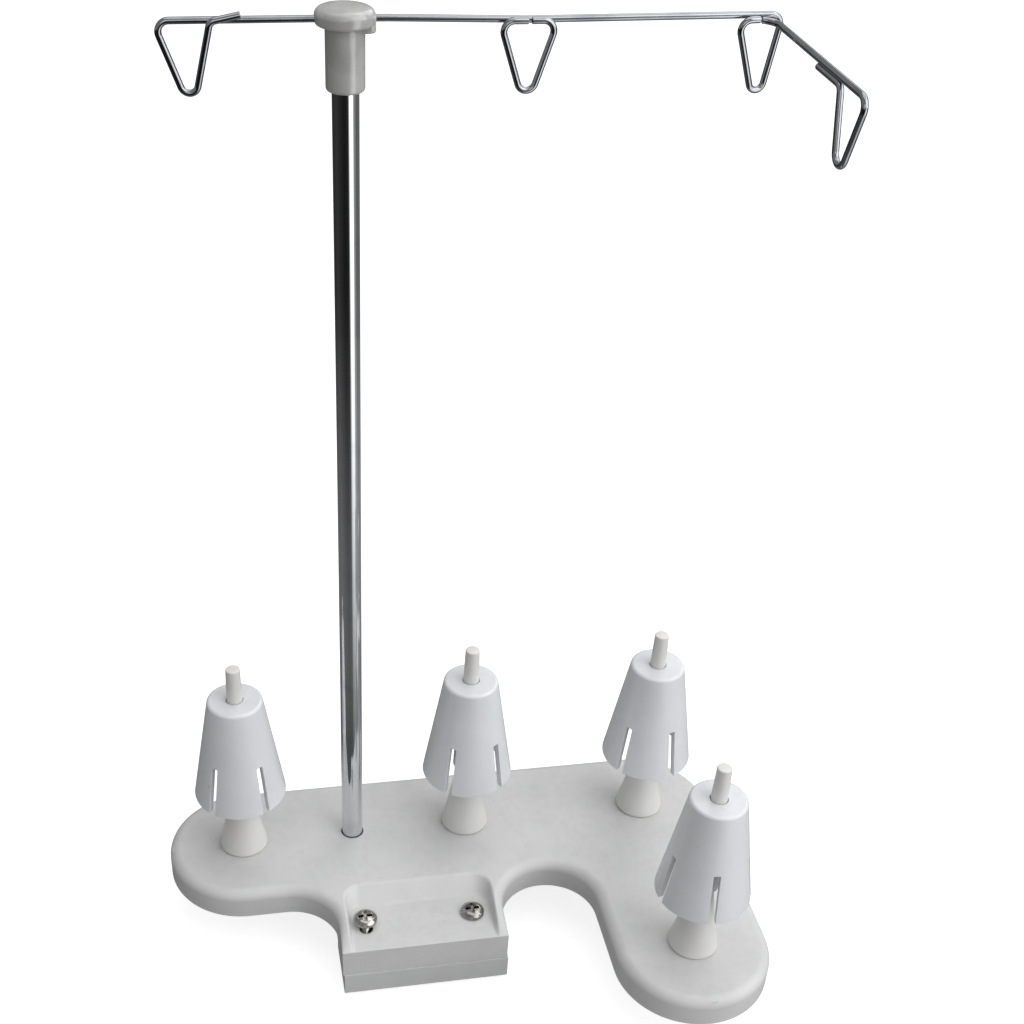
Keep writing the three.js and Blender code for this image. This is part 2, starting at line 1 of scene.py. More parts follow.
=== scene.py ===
"""Thread stand for an overlock machine, built on its fixed frame.

The moulded base carries four spool pins with slotted cone holders and a tall rod whose head holds
the bent wire thread guides. Lengths are in metres where a docstring doesn't say millimetres.
"""

import logging
import math
from dataclasses import dataclass, field
from enum import Enum

import bmesh
import bpy
from mathutils import Matrix, Vector


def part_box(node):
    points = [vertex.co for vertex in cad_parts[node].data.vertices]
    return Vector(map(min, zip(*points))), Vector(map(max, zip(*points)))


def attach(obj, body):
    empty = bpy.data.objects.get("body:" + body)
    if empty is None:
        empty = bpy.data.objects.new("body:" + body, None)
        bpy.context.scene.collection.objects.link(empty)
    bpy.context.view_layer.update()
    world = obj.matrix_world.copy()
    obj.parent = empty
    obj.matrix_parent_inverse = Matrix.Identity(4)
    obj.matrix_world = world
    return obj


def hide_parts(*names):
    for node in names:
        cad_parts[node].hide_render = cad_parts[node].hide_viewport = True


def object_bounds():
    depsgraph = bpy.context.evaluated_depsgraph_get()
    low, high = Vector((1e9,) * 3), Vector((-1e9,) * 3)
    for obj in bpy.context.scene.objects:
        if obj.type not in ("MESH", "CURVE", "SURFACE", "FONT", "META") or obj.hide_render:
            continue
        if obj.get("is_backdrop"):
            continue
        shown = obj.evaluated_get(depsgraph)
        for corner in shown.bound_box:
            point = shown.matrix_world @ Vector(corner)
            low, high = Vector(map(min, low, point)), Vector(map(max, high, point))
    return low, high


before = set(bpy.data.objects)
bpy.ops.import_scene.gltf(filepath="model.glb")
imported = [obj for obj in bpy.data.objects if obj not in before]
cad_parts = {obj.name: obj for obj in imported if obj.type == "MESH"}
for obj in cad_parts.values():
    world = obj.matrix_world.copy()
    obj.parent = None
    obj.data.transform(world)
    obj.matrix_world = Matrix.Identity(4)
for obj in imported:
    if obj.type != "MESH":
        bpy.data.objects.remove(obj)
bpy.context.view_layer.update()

LOG = logging.getLogger("thread_stand")
MM = 0.001
MERGE = 1e-7  # corners nearer to each other than this are one, in metres
ON_AXIS = 1e-9  # a profile's point nearer to the axis than this is on it, in millimetres
STRAIGHT = 179.0  # a corner flatter than this isn't rounded, in degrees
PILOT = 1.8  # radius of the holes that the pins' screws go through, in millimetres
TAPPED = 2.3  # radius of the rod's tapped hole and of its screw's clearance, in millimetres
QUARTER = (0, 30, 60, 90)  # steps of a small rounding, in degrees
DUST_ON_PLASTIC = (0.42, 0.41, 0.39)
DUST_ON_METAL = (0.4, 0.4, 0.39)
Point = tuple[float, float]
Triple = tuple[float, float, float]
Socket = bpy.types.NodeSocket


class Body(Enum):
    """The moving bodies that pieces ride on."""

    STAND = "stand"
    HOLDER_1 = "holder_1"
    HOLDER_2 = "holder_2"
    HOLDER_3 = "holder_3"
    HOLDER_4 = "holder_4"
    HEAD = "head"


class Slot(Enum):
    """The record's material slots."""

    BASE = "base_plastic"
    BLOCK = "block_plastic"
    PIN = "pin_plastic"
    HOLDER = "holder_plastic"
    HEAD = "head_plastic"
    ROD = "rod_chrome"
    WIRE = "wire_chrome"
    SCREW = "screw_nickel"
    ZINC = "zinc_steel"


# ---------------------------------------------------------------- node groups


class NodeMaker:
    """Adds nodes to one tree and joins them."""

    def __init__(self, tree: bpy.types.NodeTree) -> None:
        """Keeps the tree.

        Args:
            tree: where the nodes go.
        """
        self.tree = tree
        self.nodes = tree.nodes

    def link(self, source: Socket, target: Socket) -> None:
        """Joins two sockets."""
        self.tree.links.new(source, target)

    def node(self, kind: str, *sources: Socket, **settings: object) -> bpy.types.Node:
        """Adds a node.

        Args:
            kind: its type name, without the ShaderNode in front.
            sources: what feeds its first inputs, in order.
            settings: properties of the node.

        Returns:
            The new node.
        """
        made = self.nodes.new(f"ShaderNode{kind}")
        for key, value in settings.items():
            setattr(made, key, value)
        for source, target in zip(sources, made.inputs):
            self.link(source, target)
        return made

    @staticmethod
    def filled(node: bpy.types.Node, **values: object) -> bpy.types.Node:
        """Sets a node's inputs; underscores in the names stand for spaces."""
        for key, value in values.items():
            node.inputs[key.replace("_", " ")].default_value = value
        return node

    def mixed(self, factor: Socket, a: Socket, b: Socket | Triple) -> Socket:
        """Mixes two colours by a factor and returns the result."""
        made = self.node("Mix", factor, data_type="RGBA")
        first, second = made.inputs[6], made.inputs[7]  # the colour inputs; others come before
        self.link(a, first)
        if isinstance(b, tuple):
            second.default_value = (*b, 1.0)
        else:
            self.link(b, second)
        return made.outputs[2]


class GroupMaker(NodeMaker):
    """Builds one shader node group with named inputs and outputs."""

    def __init__(self, name: str) -> None:
        """Starts an empty group.

        Args:
            name: the group's name.
        """
        super().__init__(bpy.data.node_groups.new(name, "ShaderNodeTree"))
        self.start = self.nodes.new("NodeGroupInput")
        self.end = self.nodes.new("NodeGroupOutput")

    def takes(self, kind: str, **defaults: float | Triple) -> None:
        """Adds inputs of one kind, Float, Color or Vector; underscores stand for spaces."""
        for key, default in defaults.items():
            made = self.tree.interface.new_socket(
                key.replace("_", " "), in_out="INPUT", socket_type=f"NodeSocket{kind}"
            )
            made.default_value = (*default, 1.0) if kind == "Color" else default

    def gives(self, **kinds: str) -> None:
        """Adds outputs, each of kind Float, Color or Vector."""
        for name, kind in kinds.items():
            self.tree.interface.new_socket(name, in_out="OUTPUT", socket_type=f"NodeSocket{kind}")

    def given(self, name: str) -> Socket:
        """The group's input of that name, as a source inside it."""
        return self.start.outputs[name]

    def noise(self, vector: Socket, scale: str | float, detail: float) -> Socket:
        """Adds a noise texture.

        Args:
            vector: where it is read.
            scale: the name of the group input that sets its scale, or a number.
            detail: octaves.

        Returns:
            Its value, around one half.
        """
        made = self.filled(self.node("TexNoise", vector), Detail=detail)
        if isinstance(scale, str):
            self.link(self.given(scale), made.inputs["Scale"])
        else:
            self.filled(made, Scale=scale)
        return made.outputs[0]

    def ranged(self, value: Socket, low: float, high: float) -> Socket:
        """Stretches low to high over nought to one, smoothly and clamped."""
        made = self.node("MapRange", value, interpolation_type="SMOOTHSTEP")
        return self.filled(made, From_Min=low, From_Max=high).outputs["Result"]

    def maths(self, operation: str, a: Socket, b: Socket | float) -> Socket:
        """Adds a two-value sum, product or the like, and returns its result."""
        made = self.node("Math", a, operation=operation)
        if isinstance(b, float):
            made.inputs[1].default_value = b
        else:
            self.link(b, made.inputs[1])
        return made.outputs[0]

    def surface(
        self, colour: Socket, varied: Socket, relief: Socket, depth: str
    ) -> bpy.types.NodeTree:
        """Feeds the three outputs that every surface group has.

        Args:
            colour: its colour.
            varied: where its roughness differs.
            relief: its height.
            depth: the name of the group input that scales the height.

        Returns:
            The finished group.
        """
        spread = self.maths("MULTIPLY", varied, self.given("Roughness Spread"))
        bump = self.node("Bump")
        self.link(relief, bump.inputs["Height"])
        self.link(self.given(depth), bump.inputs["Distance"])
        self.link(colour, self.end.inputs["Colour"])
        self.link(self.maths("ADD", spread, self.given("Roughness")), self.end.inputs["Roughness"])
        self.link(bump.outputs["Normal"], self.end.inputs["Normal"])
        return self.tree

    def mask(self, where: Socket) -> bpy.types.NodeTree:
        """Feeds the output of a mask group, scaled by its amount, and returns the group."""
        self.link(self.maths("MULTIPLY", where, self.given("Amount")), self.end.inputs["Mask"])
        return self.tree


class Effects:
    """The shader node groups that the finishes share, each built once."""

    def __init__(self) -> None:
        """Builds every group."""
        self.moulded = self.moulded_surface()
        self.plated = self.plated_surface()
        self.dust = self.settled_dust()
        self.wear = self.edge_wear()

    def moulded_surface(self) -> bpy.types.NodeTree:
        """Fine eroded grain of a mould, with slow clouding and flow marks in the plastic."""
        make = GroupMaker("moulded_surface")
        make.takes("Color", Colour=(0.8, 0.8, 0.8), Clouded_Colour=(0.7, 0.7, 0.7))
        make.takes("Float", Cloud_Scale=40.0, Grain_Scale=2500.0, Grain_Depth=0.00001,
                   Roughness=0.4, Roughness_Spread=0.1)
        make.gives(Colour="Color", Roughness="Float", Normal="Vector")
        place = make.node("TexCoord").outputs["Object"]
        clouds = make.ranged(make.noise(place, "Cloud Scale", 4.0), 0.3, 0.75)
        colour = make.mixed(clouds, make.given("Colour"), make.given("Clouded Colour"))
        patches = make.maths("SUBTRACT", make.noise(place, 260.0, 3.0), 0.5)
        grain = make.noise(place, "Grain Scale", 2.0)
        sink = make.noise(place, 90.0, 2.0)
        height = make.maths("ADD", grain, make.maths("MULTIPLY", sink, 1.6))
        return make.surface(colour, patches, height, "Grain Depth")

    def plated_surface(self) -> bpy.types.NodeTree:
        """Polished plating with draw lines along one direction, and faint smudges."""
        make = GroupMaker("plated_surface")
        make.takes("Color", Colour=(0.8, 0.8, 0.8), Stain_Colour=(0.5, 0.5, 0.5))
        make.takes("Vector", Line_Stretch=(1.0, 1.0, 0.02))
        make.takes("Float", Line_Scale=1500.0, Line_Depth=0.000002, Roughness=0.1,
                   Roughness_Spread=0.1)
        make.gives(Colour="Color", Roughness="Float", Normal="Vector")
        place = make.node("TexCoord").outputs["Object"]
        along = make.node("VectorMath", place, make.given("Line Stretch"), operation="MULTIPLY")
        lines = make.noise(along.outputs[0], "Line Scale", 3.0)
        smudge = make.ranged(make.noise(place, 120.0, 4.0), 0.45, 0.8)
        colour = make.mixed(smudge, make.given("Colour"), make.given("Stain Colour"))
        return make.surface(colour, smudge, lines, "Line Depth")

    def settled_dust(self) -> bpy.types.NodeTree:
        """A mask of faint dust lying on what faces up."""
        make = GroupMaker("settled_dust")
        make.takes("Float", Amount=0.2, Scale=300.0)
        make.gives(Mask="Float")
        facing = make.node("SeparateXYZ", make.node("NewGeometry").outputs["Normal"])
        place = make.node("TexCoord").outputs["Object"]
        specks = make.ranged(make.noise(place, "Scale", 6.0), 0.42, 0.78)
        return make.mask(make.maths("MULTIPLY", make.ranged(facing.outputs["Z"], 0.5, 1.0), specks))

    def edge_wear(self) -> bpy.types.NodeTree:
        """A mask of the rubbed look along outer edges, broken up by noise."""
        make = GroupMaker("edge_wear")
        make.takes("Float", Amount=0.3, Scale=400.0)
        make.gives(Mask="Float")
        edge = make.ranged(make.node("NewGeometry").outputs["Pointiness"], 0.515, 0.6)
        place = make.node("TexCoord").outputs["Object"]
        broken = make.ranged(make.noise(place, "Scale", 4.0), 0.3, 0.7)
        return make.mask(make.maths("MULTIPLY", edge, broken))


# ---------------------------------------------------------------- finishes


class MaterialMaker(NodeMaker):
    """Lays out one material around a Principled shader."""

    def __init__(self, name: str) -> None:
        """Starts a material with only its output and its shader.

        Args:
            name: the material's name.
        """
        self.material = bpy.data.materials.new(name)
        self.material.use_nodes = True
        super().__init__(self.material.node_tree)
        self.nodes.clear()
        self.output = self.node("OutputMaterial")
        self.shader = self.node("BsdfPrincipled")
        self.link(self.shader.outputs[0], self.output.inputs["Surface"])

    def effect(self, tree: bpy.types.NodeTree, **values: object) -> bpy.types.Node:
        """Places a shared group with this material's own values.

        Args:
            tree: the group.
            values: its inputs; underscores stand for spaces.

        Returns:
            The group's node.
        """
        return self.filled(self.node("Group", node_tree=tree), **values)

    def weathered(
        self, surface: bpy.types.Node, effects: Effects, finish: "Finish", lift: float, dust: Triple
    ) -> None:
        """Feeds the shader with a surface that has worn edges and dust over it.

        Args:
            surface: the surface group's node.
            effects: the shared groups.
            finish: the finish, with its colour and its amounts of wear and dust.
            lift: how many times brighter a worn edge is.
            dust: the dust's colour.
        """
        worn = self.effect(effects.wear, Amount=finish.wear)
        dusty = self.effect(effects.dust, Amount=finish.dust)
        light = tuple(min(1.0, c * lift) for c in finish.colour)
        colour = self.mixed(worn.outputs["Mask"], surface.outputs["Colour"], light)
        colour = self.mixed(dusty.outputs["Mask"], colour, dust)
        self.link(colour, self.shader.inputs["Base Color"])
        self.link(surface.outputs["Roughness"], self.shader.inputs["Roughness"])
        self.link(surface.outputs["Normal"], self.shader.inputs["Normal"])


@dataclass(frozen=True)
class MouldedPlastic:
    """A moulded plastic: satin to glossy, and a little translucent where it is thin."""

    name: str
    colour: Triple
    clouded: Triple
    roughness: float = 0.42
    spread: float = 0.12
    grain_scale: float = 2600.0
    grain_depth: float = 0.000012
    coat: float = 0.0
    cloud_scale: float = 40.0
    translucence: float = 0.05
    depth: float = 0.001
    wear: float = 0.25
    dust: float = 0.15

    def material(self, effects: Effects) -> bpy.types.Material:
        """Builds the material.

        Args:
            effects: the shared groups.

        Returns:
            The material.
        """
        make = MaterialMaker(self.name)
        surface = make.effect(
            effects.moulded,
            Colour=(*self.colour, 1.0),
            Clouded_Colour=(*self.clouded, 1.0),
            Cloud_Scale=self.cloud_scale,
            Grain_Scale=self.grain_scale,
            Grain_Depth=self.grain_depth,
            Roughness=self.roughness,
            Roughness_Spread=self.spread,
        )
        make.weathered(surface, effects, self, 1.12, DUST_ON_PLASTIC)
        make.filled(
            make.shader,
            IOR=1.5,
            Subsurface_Weight=self.translucence,
            Subsurface_Radius=(1.0, 0.95, 0.9),
            Subsurface_Scale=self.depth,
            Coat_Weight=self.coat,
            Coat_Roughness=0.12,
        )
        return make.material


@dataclass(frozen=True)
class PlatedMetal:
    """A plated steel: bright chrome, nickel or zinc."""

    name: str
    colour: Triple
    stain: Triple
    roughness: float = 0.08
    spread: float = 0.06
    line_scale: float = 1400.0
    line_depth: float = 0.000002
    stretch: Triple = (1.0, 1.0, 0.02)
    wear: float = 0.2
    dust: float = 0.05

    def material(self, effects: Effects) -> bpy.types.Material:
        """Builds the material.

        Args:
            effects: the shared groups.

        Returns:
            The material.
        """
        make = MaterialMaker(self.name)
        surface = make.effect(
            effects.plated,
            Colour=(*self.colour, 1.0),
            Stain_Colour=(*self.stain, 1.0),
            Line_Stretch=self.stretch,
            Line_Scale=self.line_scale,
            Line_Depth=self.line_depth,
            Roughness=self.roughness,
            Roughness_Spread=self.spread,
        )
        make.weathered(surface, effects, self, 1.15, DUST_ON_METAL)
        make.filled(make.shader, Metallic=1.0)
        return make.material


GREY_BASE = MouldedPlastic("grey_base_plastic", (0.63, 0.635, 0.63), (0.58, 0.585, 0.585))
GREY_BLOCK = MouldedPlastic(
    "grey_block_plastic", (0.6, 0.605, 0.61), (0.55, 0.555, 0.56), roughness=0.5,
)
IVORY_PIN = MouldedPlastic(
    "ivory_pin_plastic", (0.71, 0.705, 0.69), (0.66, 0.655, 0.64), roughness=0.34,
    translucence=0.15, depth=0.002, grain_depth=0.000006,
)
WHITE_HOLDER = MouldedPlastic(
    "white_holder_plastic", (0.72, 0.735, 0.76), (0.68, 0.695, 0.72), roughness=0.3,
    translucence=0.3, depth=0.003, grain_depth=0.000005, coat=0.15,
)
CLOUDY_HEAD = MouldedPlastic(
    "cloudy_head_plastic", (0.46, 0.46, 0.445), (0.38, 0.38, 0.37), roughness=0.14,
    translucence=0.7, depth=0.005, grain_depth=0.000003, coat=0.8, cloud_scale=130.0, dust=0.05,
)
ROD_CHROME = PlatedMetal("rod_chrome", (0.7, 0.71, 0.73), (0.6, 0.61, 0.63))
WIRE_CHROME = PlatedMetal(
    "wire_chrome", (0.34, 0.35, 0.37), (0.25, 0.26, 0.28), roughness=0.1, stretch=(0.05, 0.4, 1.0),
)
SCREW_NICKEL = PlatedMetal(
    "screw_nickel", (0.4, 0.385, 0.365), (0.22, 0.21, 0.2), roughness=0.13, stretch=(1.0, 1.0, 1.0),
)
ZINC_STEEL = PlatedMetal(
    "zinc_steel", (0.5, 0.51, 0.53), (0.36, 0.37, 0.39), roughness=0.32, stretch=(1.0, 1.0, 1.0),
)

Finish = MouldedPlastic | PlatedMetal


class Paintshop:
    """Keeps one material for each finish."""

    def __init__(self) -> None:
        """Builds the shared effects."""
        self.effects = Effects()
        self.made: dict[str, bpy.types.Material] = {}

    def material(self, finish: Finish) -> bpy.types.Material:
        """The finish's material, built the first time."""
        if finish.name not in self.made:
            self.made[finish.name] = finish.material(self.effects)
        return self.made[finish.name]


# ---------------------------------------------------------------- shapes


def linked(name: str, data: bpy.types.ID) -> bpy.types.Object:
    """Makes an object of some data and puts it in the scene."""
    made = bpy.data.objects.new(name, data)
    bpy.context.scene.collection.objects.link(made)
    return made


def raised(points: list[Vector], z: float) -> list[Vector]:
    """Points of the plane at a height, in metres."""
    return [Vector((p.x, p.y, z)) for p in points]


def middle(low: Vector, high: Vector, z: float) -> Vector:
    """The middle of a box in the plane, at a height, in metres."""
    return Vector(((low.x + high.x) / 2, (low.y + high.y) / 2, z))


def arc(centre: Point, radius: float, start: float, end: float, step: float = 3.0) -> list[Vector]:
    """Points on an arc in the plane.

    Args:
        centre: its centre.
        radius: its radius.
        start: first angle, in degrees.
        end: last angle, in degrees.
        step: degrees between points.

    Returns:
        The points, both ends included.
    """
    count = max(1, round(abs(end - start) / step))
    angles = [math.radians(start + (end - start) * i / count) for i in range(count + 1)]
    x, y = centre
    return [Vector((x + radius * math.cos(a), y + radius * math.sin(a))) for a in angles]


def filleted(corners: list[Triple], steps: int = 6) -> list[Point]:
    """Rounds the corners of an open profile.

    Args:
        corners: radius, height and rounding of each corner; the ends have no rounding.
        steps: points in each rounding, less one.

    Returns:
        The rounded profile's points.
    """
    points = [(corners[0][0], corners[0][1])]
    for before, here, after in zip(corners, corners[1:], corners[2:]):
        at = Vector(here[:2])
        back = (Vector(before[:2]) - at).normalized()
        on = (Vector(after[:2]) - at).normalized()
        angle = back.angle(on)
        if here[2] <= 0 or angle > math.radians(STRAIGHT):
            points.append((at.x, at.y))
            continue
        cut = here[2] / math.tan(angle / 2)
        centre = at + (back + on).normalized() * here[2] / math.sin(angle / 2)
        start = at + back * cut - centre
        end = at + on * cut - centre
        for i in range(steps + 1):
            turned = start.normalized().slerp(end.normalized(), i / steps) * here[2] + centre
            points.append((turned.x, turned.y))
    points.append((corners[-1][0], corners[-1][1]))
    return points


def smooth_profile(points: list[Point], steps: int = 5) -> list[Point]:
    """A Catmull-Rom curve through a profile's points.

    Args:
        points: the profile.
        steps: spans between each two of its points.

    Returns:
        The finer profile.
    """
    made = [points[0]]
    for i in range(len(points) - 1):
        a = Vector(points[max(i - 1, 0)])
        b = Vector(points[i])
        c = Vector(points[i + 1])
        d = Vector(points[min(i + 2, len(points) - 1)])
        for k in range(1, steps + 1):
            t = k / steps
            p = 0.5 * (2 * b + (c - a) * t + (2 * a - 5 * b + 4 * c - d) * t * t
                       + (3 * b - a - 3 * c + d) * t ** 3)
            made.append((p.x, p.y))
    return made


class Solid:
    """A closed mesh being made, in metres."""

    def __init__(self, vertices: list[Vector], faces: list[list[int]]) -> None:
        """Keeps a mesh with outward faces.

        Args:
            vertices: corners.
            faces: corners of each face.
        """
        self.mesh = bpy.data.meshes.new("solid")
        self.mesh.from_pydata([tuple(v) for v in vertices], [], faces)
        work = bmesh.new()
        work.from_mesh(self.mesh)
        bmesh.ops.remove_doubles(work, verts=work.verts, dist=MERGE)
        bmesh.ops.recalc_face_normals(work, faces=work.faces)
        work.to_mesh(self.mesh)
        work.free()

    @classmethod
    def turned(cls, profile: list[Point], centre: Vector, segments: int = 72) -> "Solid":
        """Revolves a profile.

        Args:
            profile: radius and height pairs in millimetres from the axis's foot, closed or with
                both ends on the axis.
            centre: a point on the axis, the profile's zero height.
            segments: facets around.

        Returns:
            The solid.
        """
        closed = profile[0] == profile[-1]
        rings = profile[:-1] if closed else profile
        vertices: list[Vector] = []
        where: list[list[int]] = []
        for r, z in rings:
            first = len(vertices)
            count = segments if r > ON_AXIS else 1
            for k in range(count):
                a = 2 * math.pi * k / segments
                vertices.append(centre + Vector((r * math.cos(a), r * math.sin(a), z)) * MM)
            where.append([first + (k if count > 1 else 0) for k in range(segments)])
        faces = []
        pairs = list(zip(where, where[1:])) + ([(where[-1], where[0])] if closed else [])
        for low, high in pairs:
            for k in range(segments):
                j = (k + 1) % segments
                corners = [low[k], low[j], high[j], high[k]]
                face = list(dict.fromkeys(corners))
                if len(face) > 2:
                    faces.append(face)
        return cls(vertices, faces)

    @classmethod
    def lofted(cls, rings: list[list[Vector]]) -> "Solid":
        """Joins rings of as many points each, with flat ends.

        Args:
            rings: the points of each ring, in metres, from the bottom up.

        Returns:
            The solid.
        """
        count = len(rings[0])
        faces = [list(reversed(range(count)))]
        for k in range(len(rings) - 1):
            for i in range(count):
                j = (i + 1) % count
                a, b = k * count, (k + 1) * count
                faces.append([a + i, a + j, b + j, b + i])
        last = (len(rings) - 1) * count
        faces.append([last + i for i in range(count)])
        return cls([p for ring in rings for p in ring], faces)

    @classmethod
    def block(cls, low: Vector, high: Vector) -> "Solid":
        """A plain box, used only as a tool or a rib."""
        ring = [
            Vector((low.x, low.y)), Vector((high.x, low.y)),
            Vector((high.x, high.y)), Vector((low.x, high.y)),
        ]
        return cls.lofted([raised(ring, low.z), raised(ring, high.z)])

    @classmethod
    def wire(cls, path: list[Vector], radius: float, sides: int = 20) -> "Solid":
        """Sweeps a round section along a path, with slightly rounded cut ends.

        Args:
            path: its points.
            radius: the wire's radius.
            sides: facets around.

        Returns:
            The solid.
        """
        path = [p.copy() for p in path]
        tangents = []
        for i in range(len(path)):
            before = path[max(i - 1, 0)]
            after = path[min(i + 1, len(path) - 1)]
            tangents.append((after - before).normalized())
        side = tangents[0].orthogonal().normalized()
        stations: list[tuple[Vector, Vector, Vector, float]] = []
        for i, (p, t) in enumerate(zip(path, tangents)):
            side = (side - t * side.dot(t)).normalized()
            up = t.cross(side)
            if i == 0:
                for inset, shrink in ((0.0, 0.78), (0.08, 0.93)):
                    stations.append((p + t * radius * inset, side.copy(), up, shrink))
                stations.append((p + t * radius * 0.22, side.copy(), up, 1.0))
            elif i == len(path) - 1:
                stations.append((p - t * radius * 0.22, side.copy(), up, 1.0))
                for inset, shrink in ((0.08, 0.93), (0.0, 0.78)):
                    stations.append((p - t * radius * inset, side.copy(), up, shrink))
            else:
                stations.append((p, side.copy(), up, 1.0))
        vertices = []
        for p, s, u, size in stations:
            for k in range(sides):
                a = 2 * math.pi * k / sides
                vertices.append(p + (s * math.cos(a) + u * math.sin(a)) * radius * size)
        faces = [list(reversed(range(sides)))]
        for k in range(len(stations) - 1):
            for i in range(sides):
                j = (i + 1) % sides
                a, b = k * sides, (k + 1) * sides
                faces.append([a + i, a + j, b + j, b + i])
        faces.append([(len(stations) - 1) * sides + i for i in range(sides)])
        return cls(vertices, faces)

    def _combined(self, others: list["Solid"], operation: str) -> "Solid":
        """Applies one boolean with each of the others in turn."""
        target = linked("work", self.mesh)
        tools = []
        for other in others:
            tool = linked("tool", other.mesh)
            tools.append(tool)
            step = target.modifiers.new("step", "BOOLEAN")
            step.operation = operation
            step.solver = "EXACT"
            step.object = tool
        bpy.context.view_layer.update()
        graph = bpy.context.evaluated_depsgraph_get()
        self.mesh = bpy.data.meshes.new_from_object(target.evaluated_get(graph))
        for piece in [target, *tools]:
            bpy.data.objects.remove(piece)
        return self

    def cut(self, *others: "Solid") -> "Solid":
        """Takes the others away."""
        return self._combined(list(others), "DIFFERENCE")

    def join(self, *others: "Solid") -> "Solid":
        """Adds the others."""
        return self._combined(list(others), "UNION")

    def mirrored(self, height: float) -> "Solid":
        """Turns it upside down about a height."""
        self.mesh.transform(Matrix.Translation((0, 0, height)) @ Matrix.Scale(-1, 4, (0, 0, 1))
                            @ Matrix.Translation((0, 0, -height)))
        self.mesh.flip_normals()
        return self


class Workshop:
    """Finishes solids into the model's pieces."""

    def __init__(self, paint: Paintshop) -> None:
        """Keeps the paint shop.

        Args:
            paint: where the materials come from.
        """
        self.paint = paint

    def place(
        self, name: str, solid: Solid, finish: Finish, body: Body, slot: Slot, nodes: list[str],
        crease: float = 32.0,
    ) -> bpy.types.Object:
        """Makes a piece of a solid.

        Args:
            name: the piece's name.
            solid: its shape.
            finish: its finish.
            body: what it rides on.
            slot: the record's slot for its finish; not used.
            nodes: the frame's nodes that it stands for.
            crease: edges sharper than this stay sharp, in degrees.

        Returns:
            The piece.
        """
        mesh = solid.mesh
        mesh.name = name
        mesh.shade_smooth()
        mesh.set_sharp_from_angle(angle=math.radians(crease))
        piece = linked(name, mesh)
        weighted = piece.modifiers.new("normals", "WEIGHTED_NORMAL")
        weighted.keep_sharp = True
        mesh.materials.clear()
        mesh.materials.append(self.paint.material(finish))
        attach(piece, body.value)
        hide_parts(*nodes)
        LOG.info("%s: %d faces on %s", name, len(mesh.polygons), body.value)
        return piece


# ---------------------------------------------------------------- layout


@dataclass(frozen=True)
class Layout:
    """Where the frame's nodes lie, in metres."""

    rod: Vector
    pins: list[Vector]
    block_low: Vector
    block_high: Vector

    @classmethod
    def read(cls) -> "Layout":
        """Reads the places from the frame's boxes."""
        _, plate_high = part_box("base_plate")

        def axis(node: str) -> Vector:
            """The upright axis of a round node, at the plate's top."""
            low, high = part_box(node)
            return middle(low, high, plate_high.z)

        block_low, block_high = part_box("mount_block")
        return cls(
            rod=axis("guide_rod"),
            pins=[axis(f"spool_pin_{n}") for n in range(1, 5)],
            block_low=block_low,
            block_high=block_high,
        )


# ---------------------------------------------------------------- base


@dataclass
class PanScrew:
    """A pan-head screw with a cross recess; sizes in millimetres."""

    shank: float = 2.0
    head: float = 4.5
    height: float = 2.4
    length: float = 25.0
    pitch: float = 0.7

    def cross(self, top: Vector) -> list[Solid]:
        """The two tapered wings of the cross recess, below a point on the crown."""
        wide = self.head * 0.125
        depth = self.head * 0.5
        made = []
        for turn in (0, 1):
            rings = []
            levels = ((0.3, 0.8, -depth), (0.52, 0.95, -depth * 0.5), (0.62, 1.1, 0.5))
            for reach, half, z in levels:
                a, b = self.head * reach, wide * half
                if turn:
                    a, b = b, a
                ring = [Vector((top.x + u * a * MM, top.y + v * b * MM))
                        for u, v in ((-1, -1), (1, -1), (1, 1), (-1, 1))]
                rings.append(raised(ring, top.z + z * MM))
            made.append(Solid.lofted(rings))
        return made

    def solid(self, seat: Vector) -> Solid:
        """The screw, head up.

        Args:
            seat: the middle of the underside of its head.

        Returns:
            The solid.
        """
        low = -self.length
        profile: list[Point] = [(0.0, low), (self.shank * 0.55, low), (self.shank * 0.8, low + 0.5)]
        turns = int((self.length - 1.2) / self.pitch)
        root = self.shank * 0.82
        for k in range(turns):
            z = low + 0.7 + k * self.pitch
            crest = [(self.shank, z + self.pitch * share) for share in (0.45, 0.55)]
            profile += [(root, z), *crest]
        profile.append((root, -0.35))
        h, r = self.height, self.head
        crown = filleted(
            [
                (self.shank, 0.0, 0), (r, 0.0, h * 0.12), (r, h * 0.5, h * 0.35),
                (r * 0.66, h * 0.94, h * 1.1), (0.0, h, 0),
            ],
            steps=7,
        )
        profile += crown
        made = Solid.turned(profile, seat, segments=48)
        return made.cut(*self.cross(seat + Vector((0, 0, h * MM))))


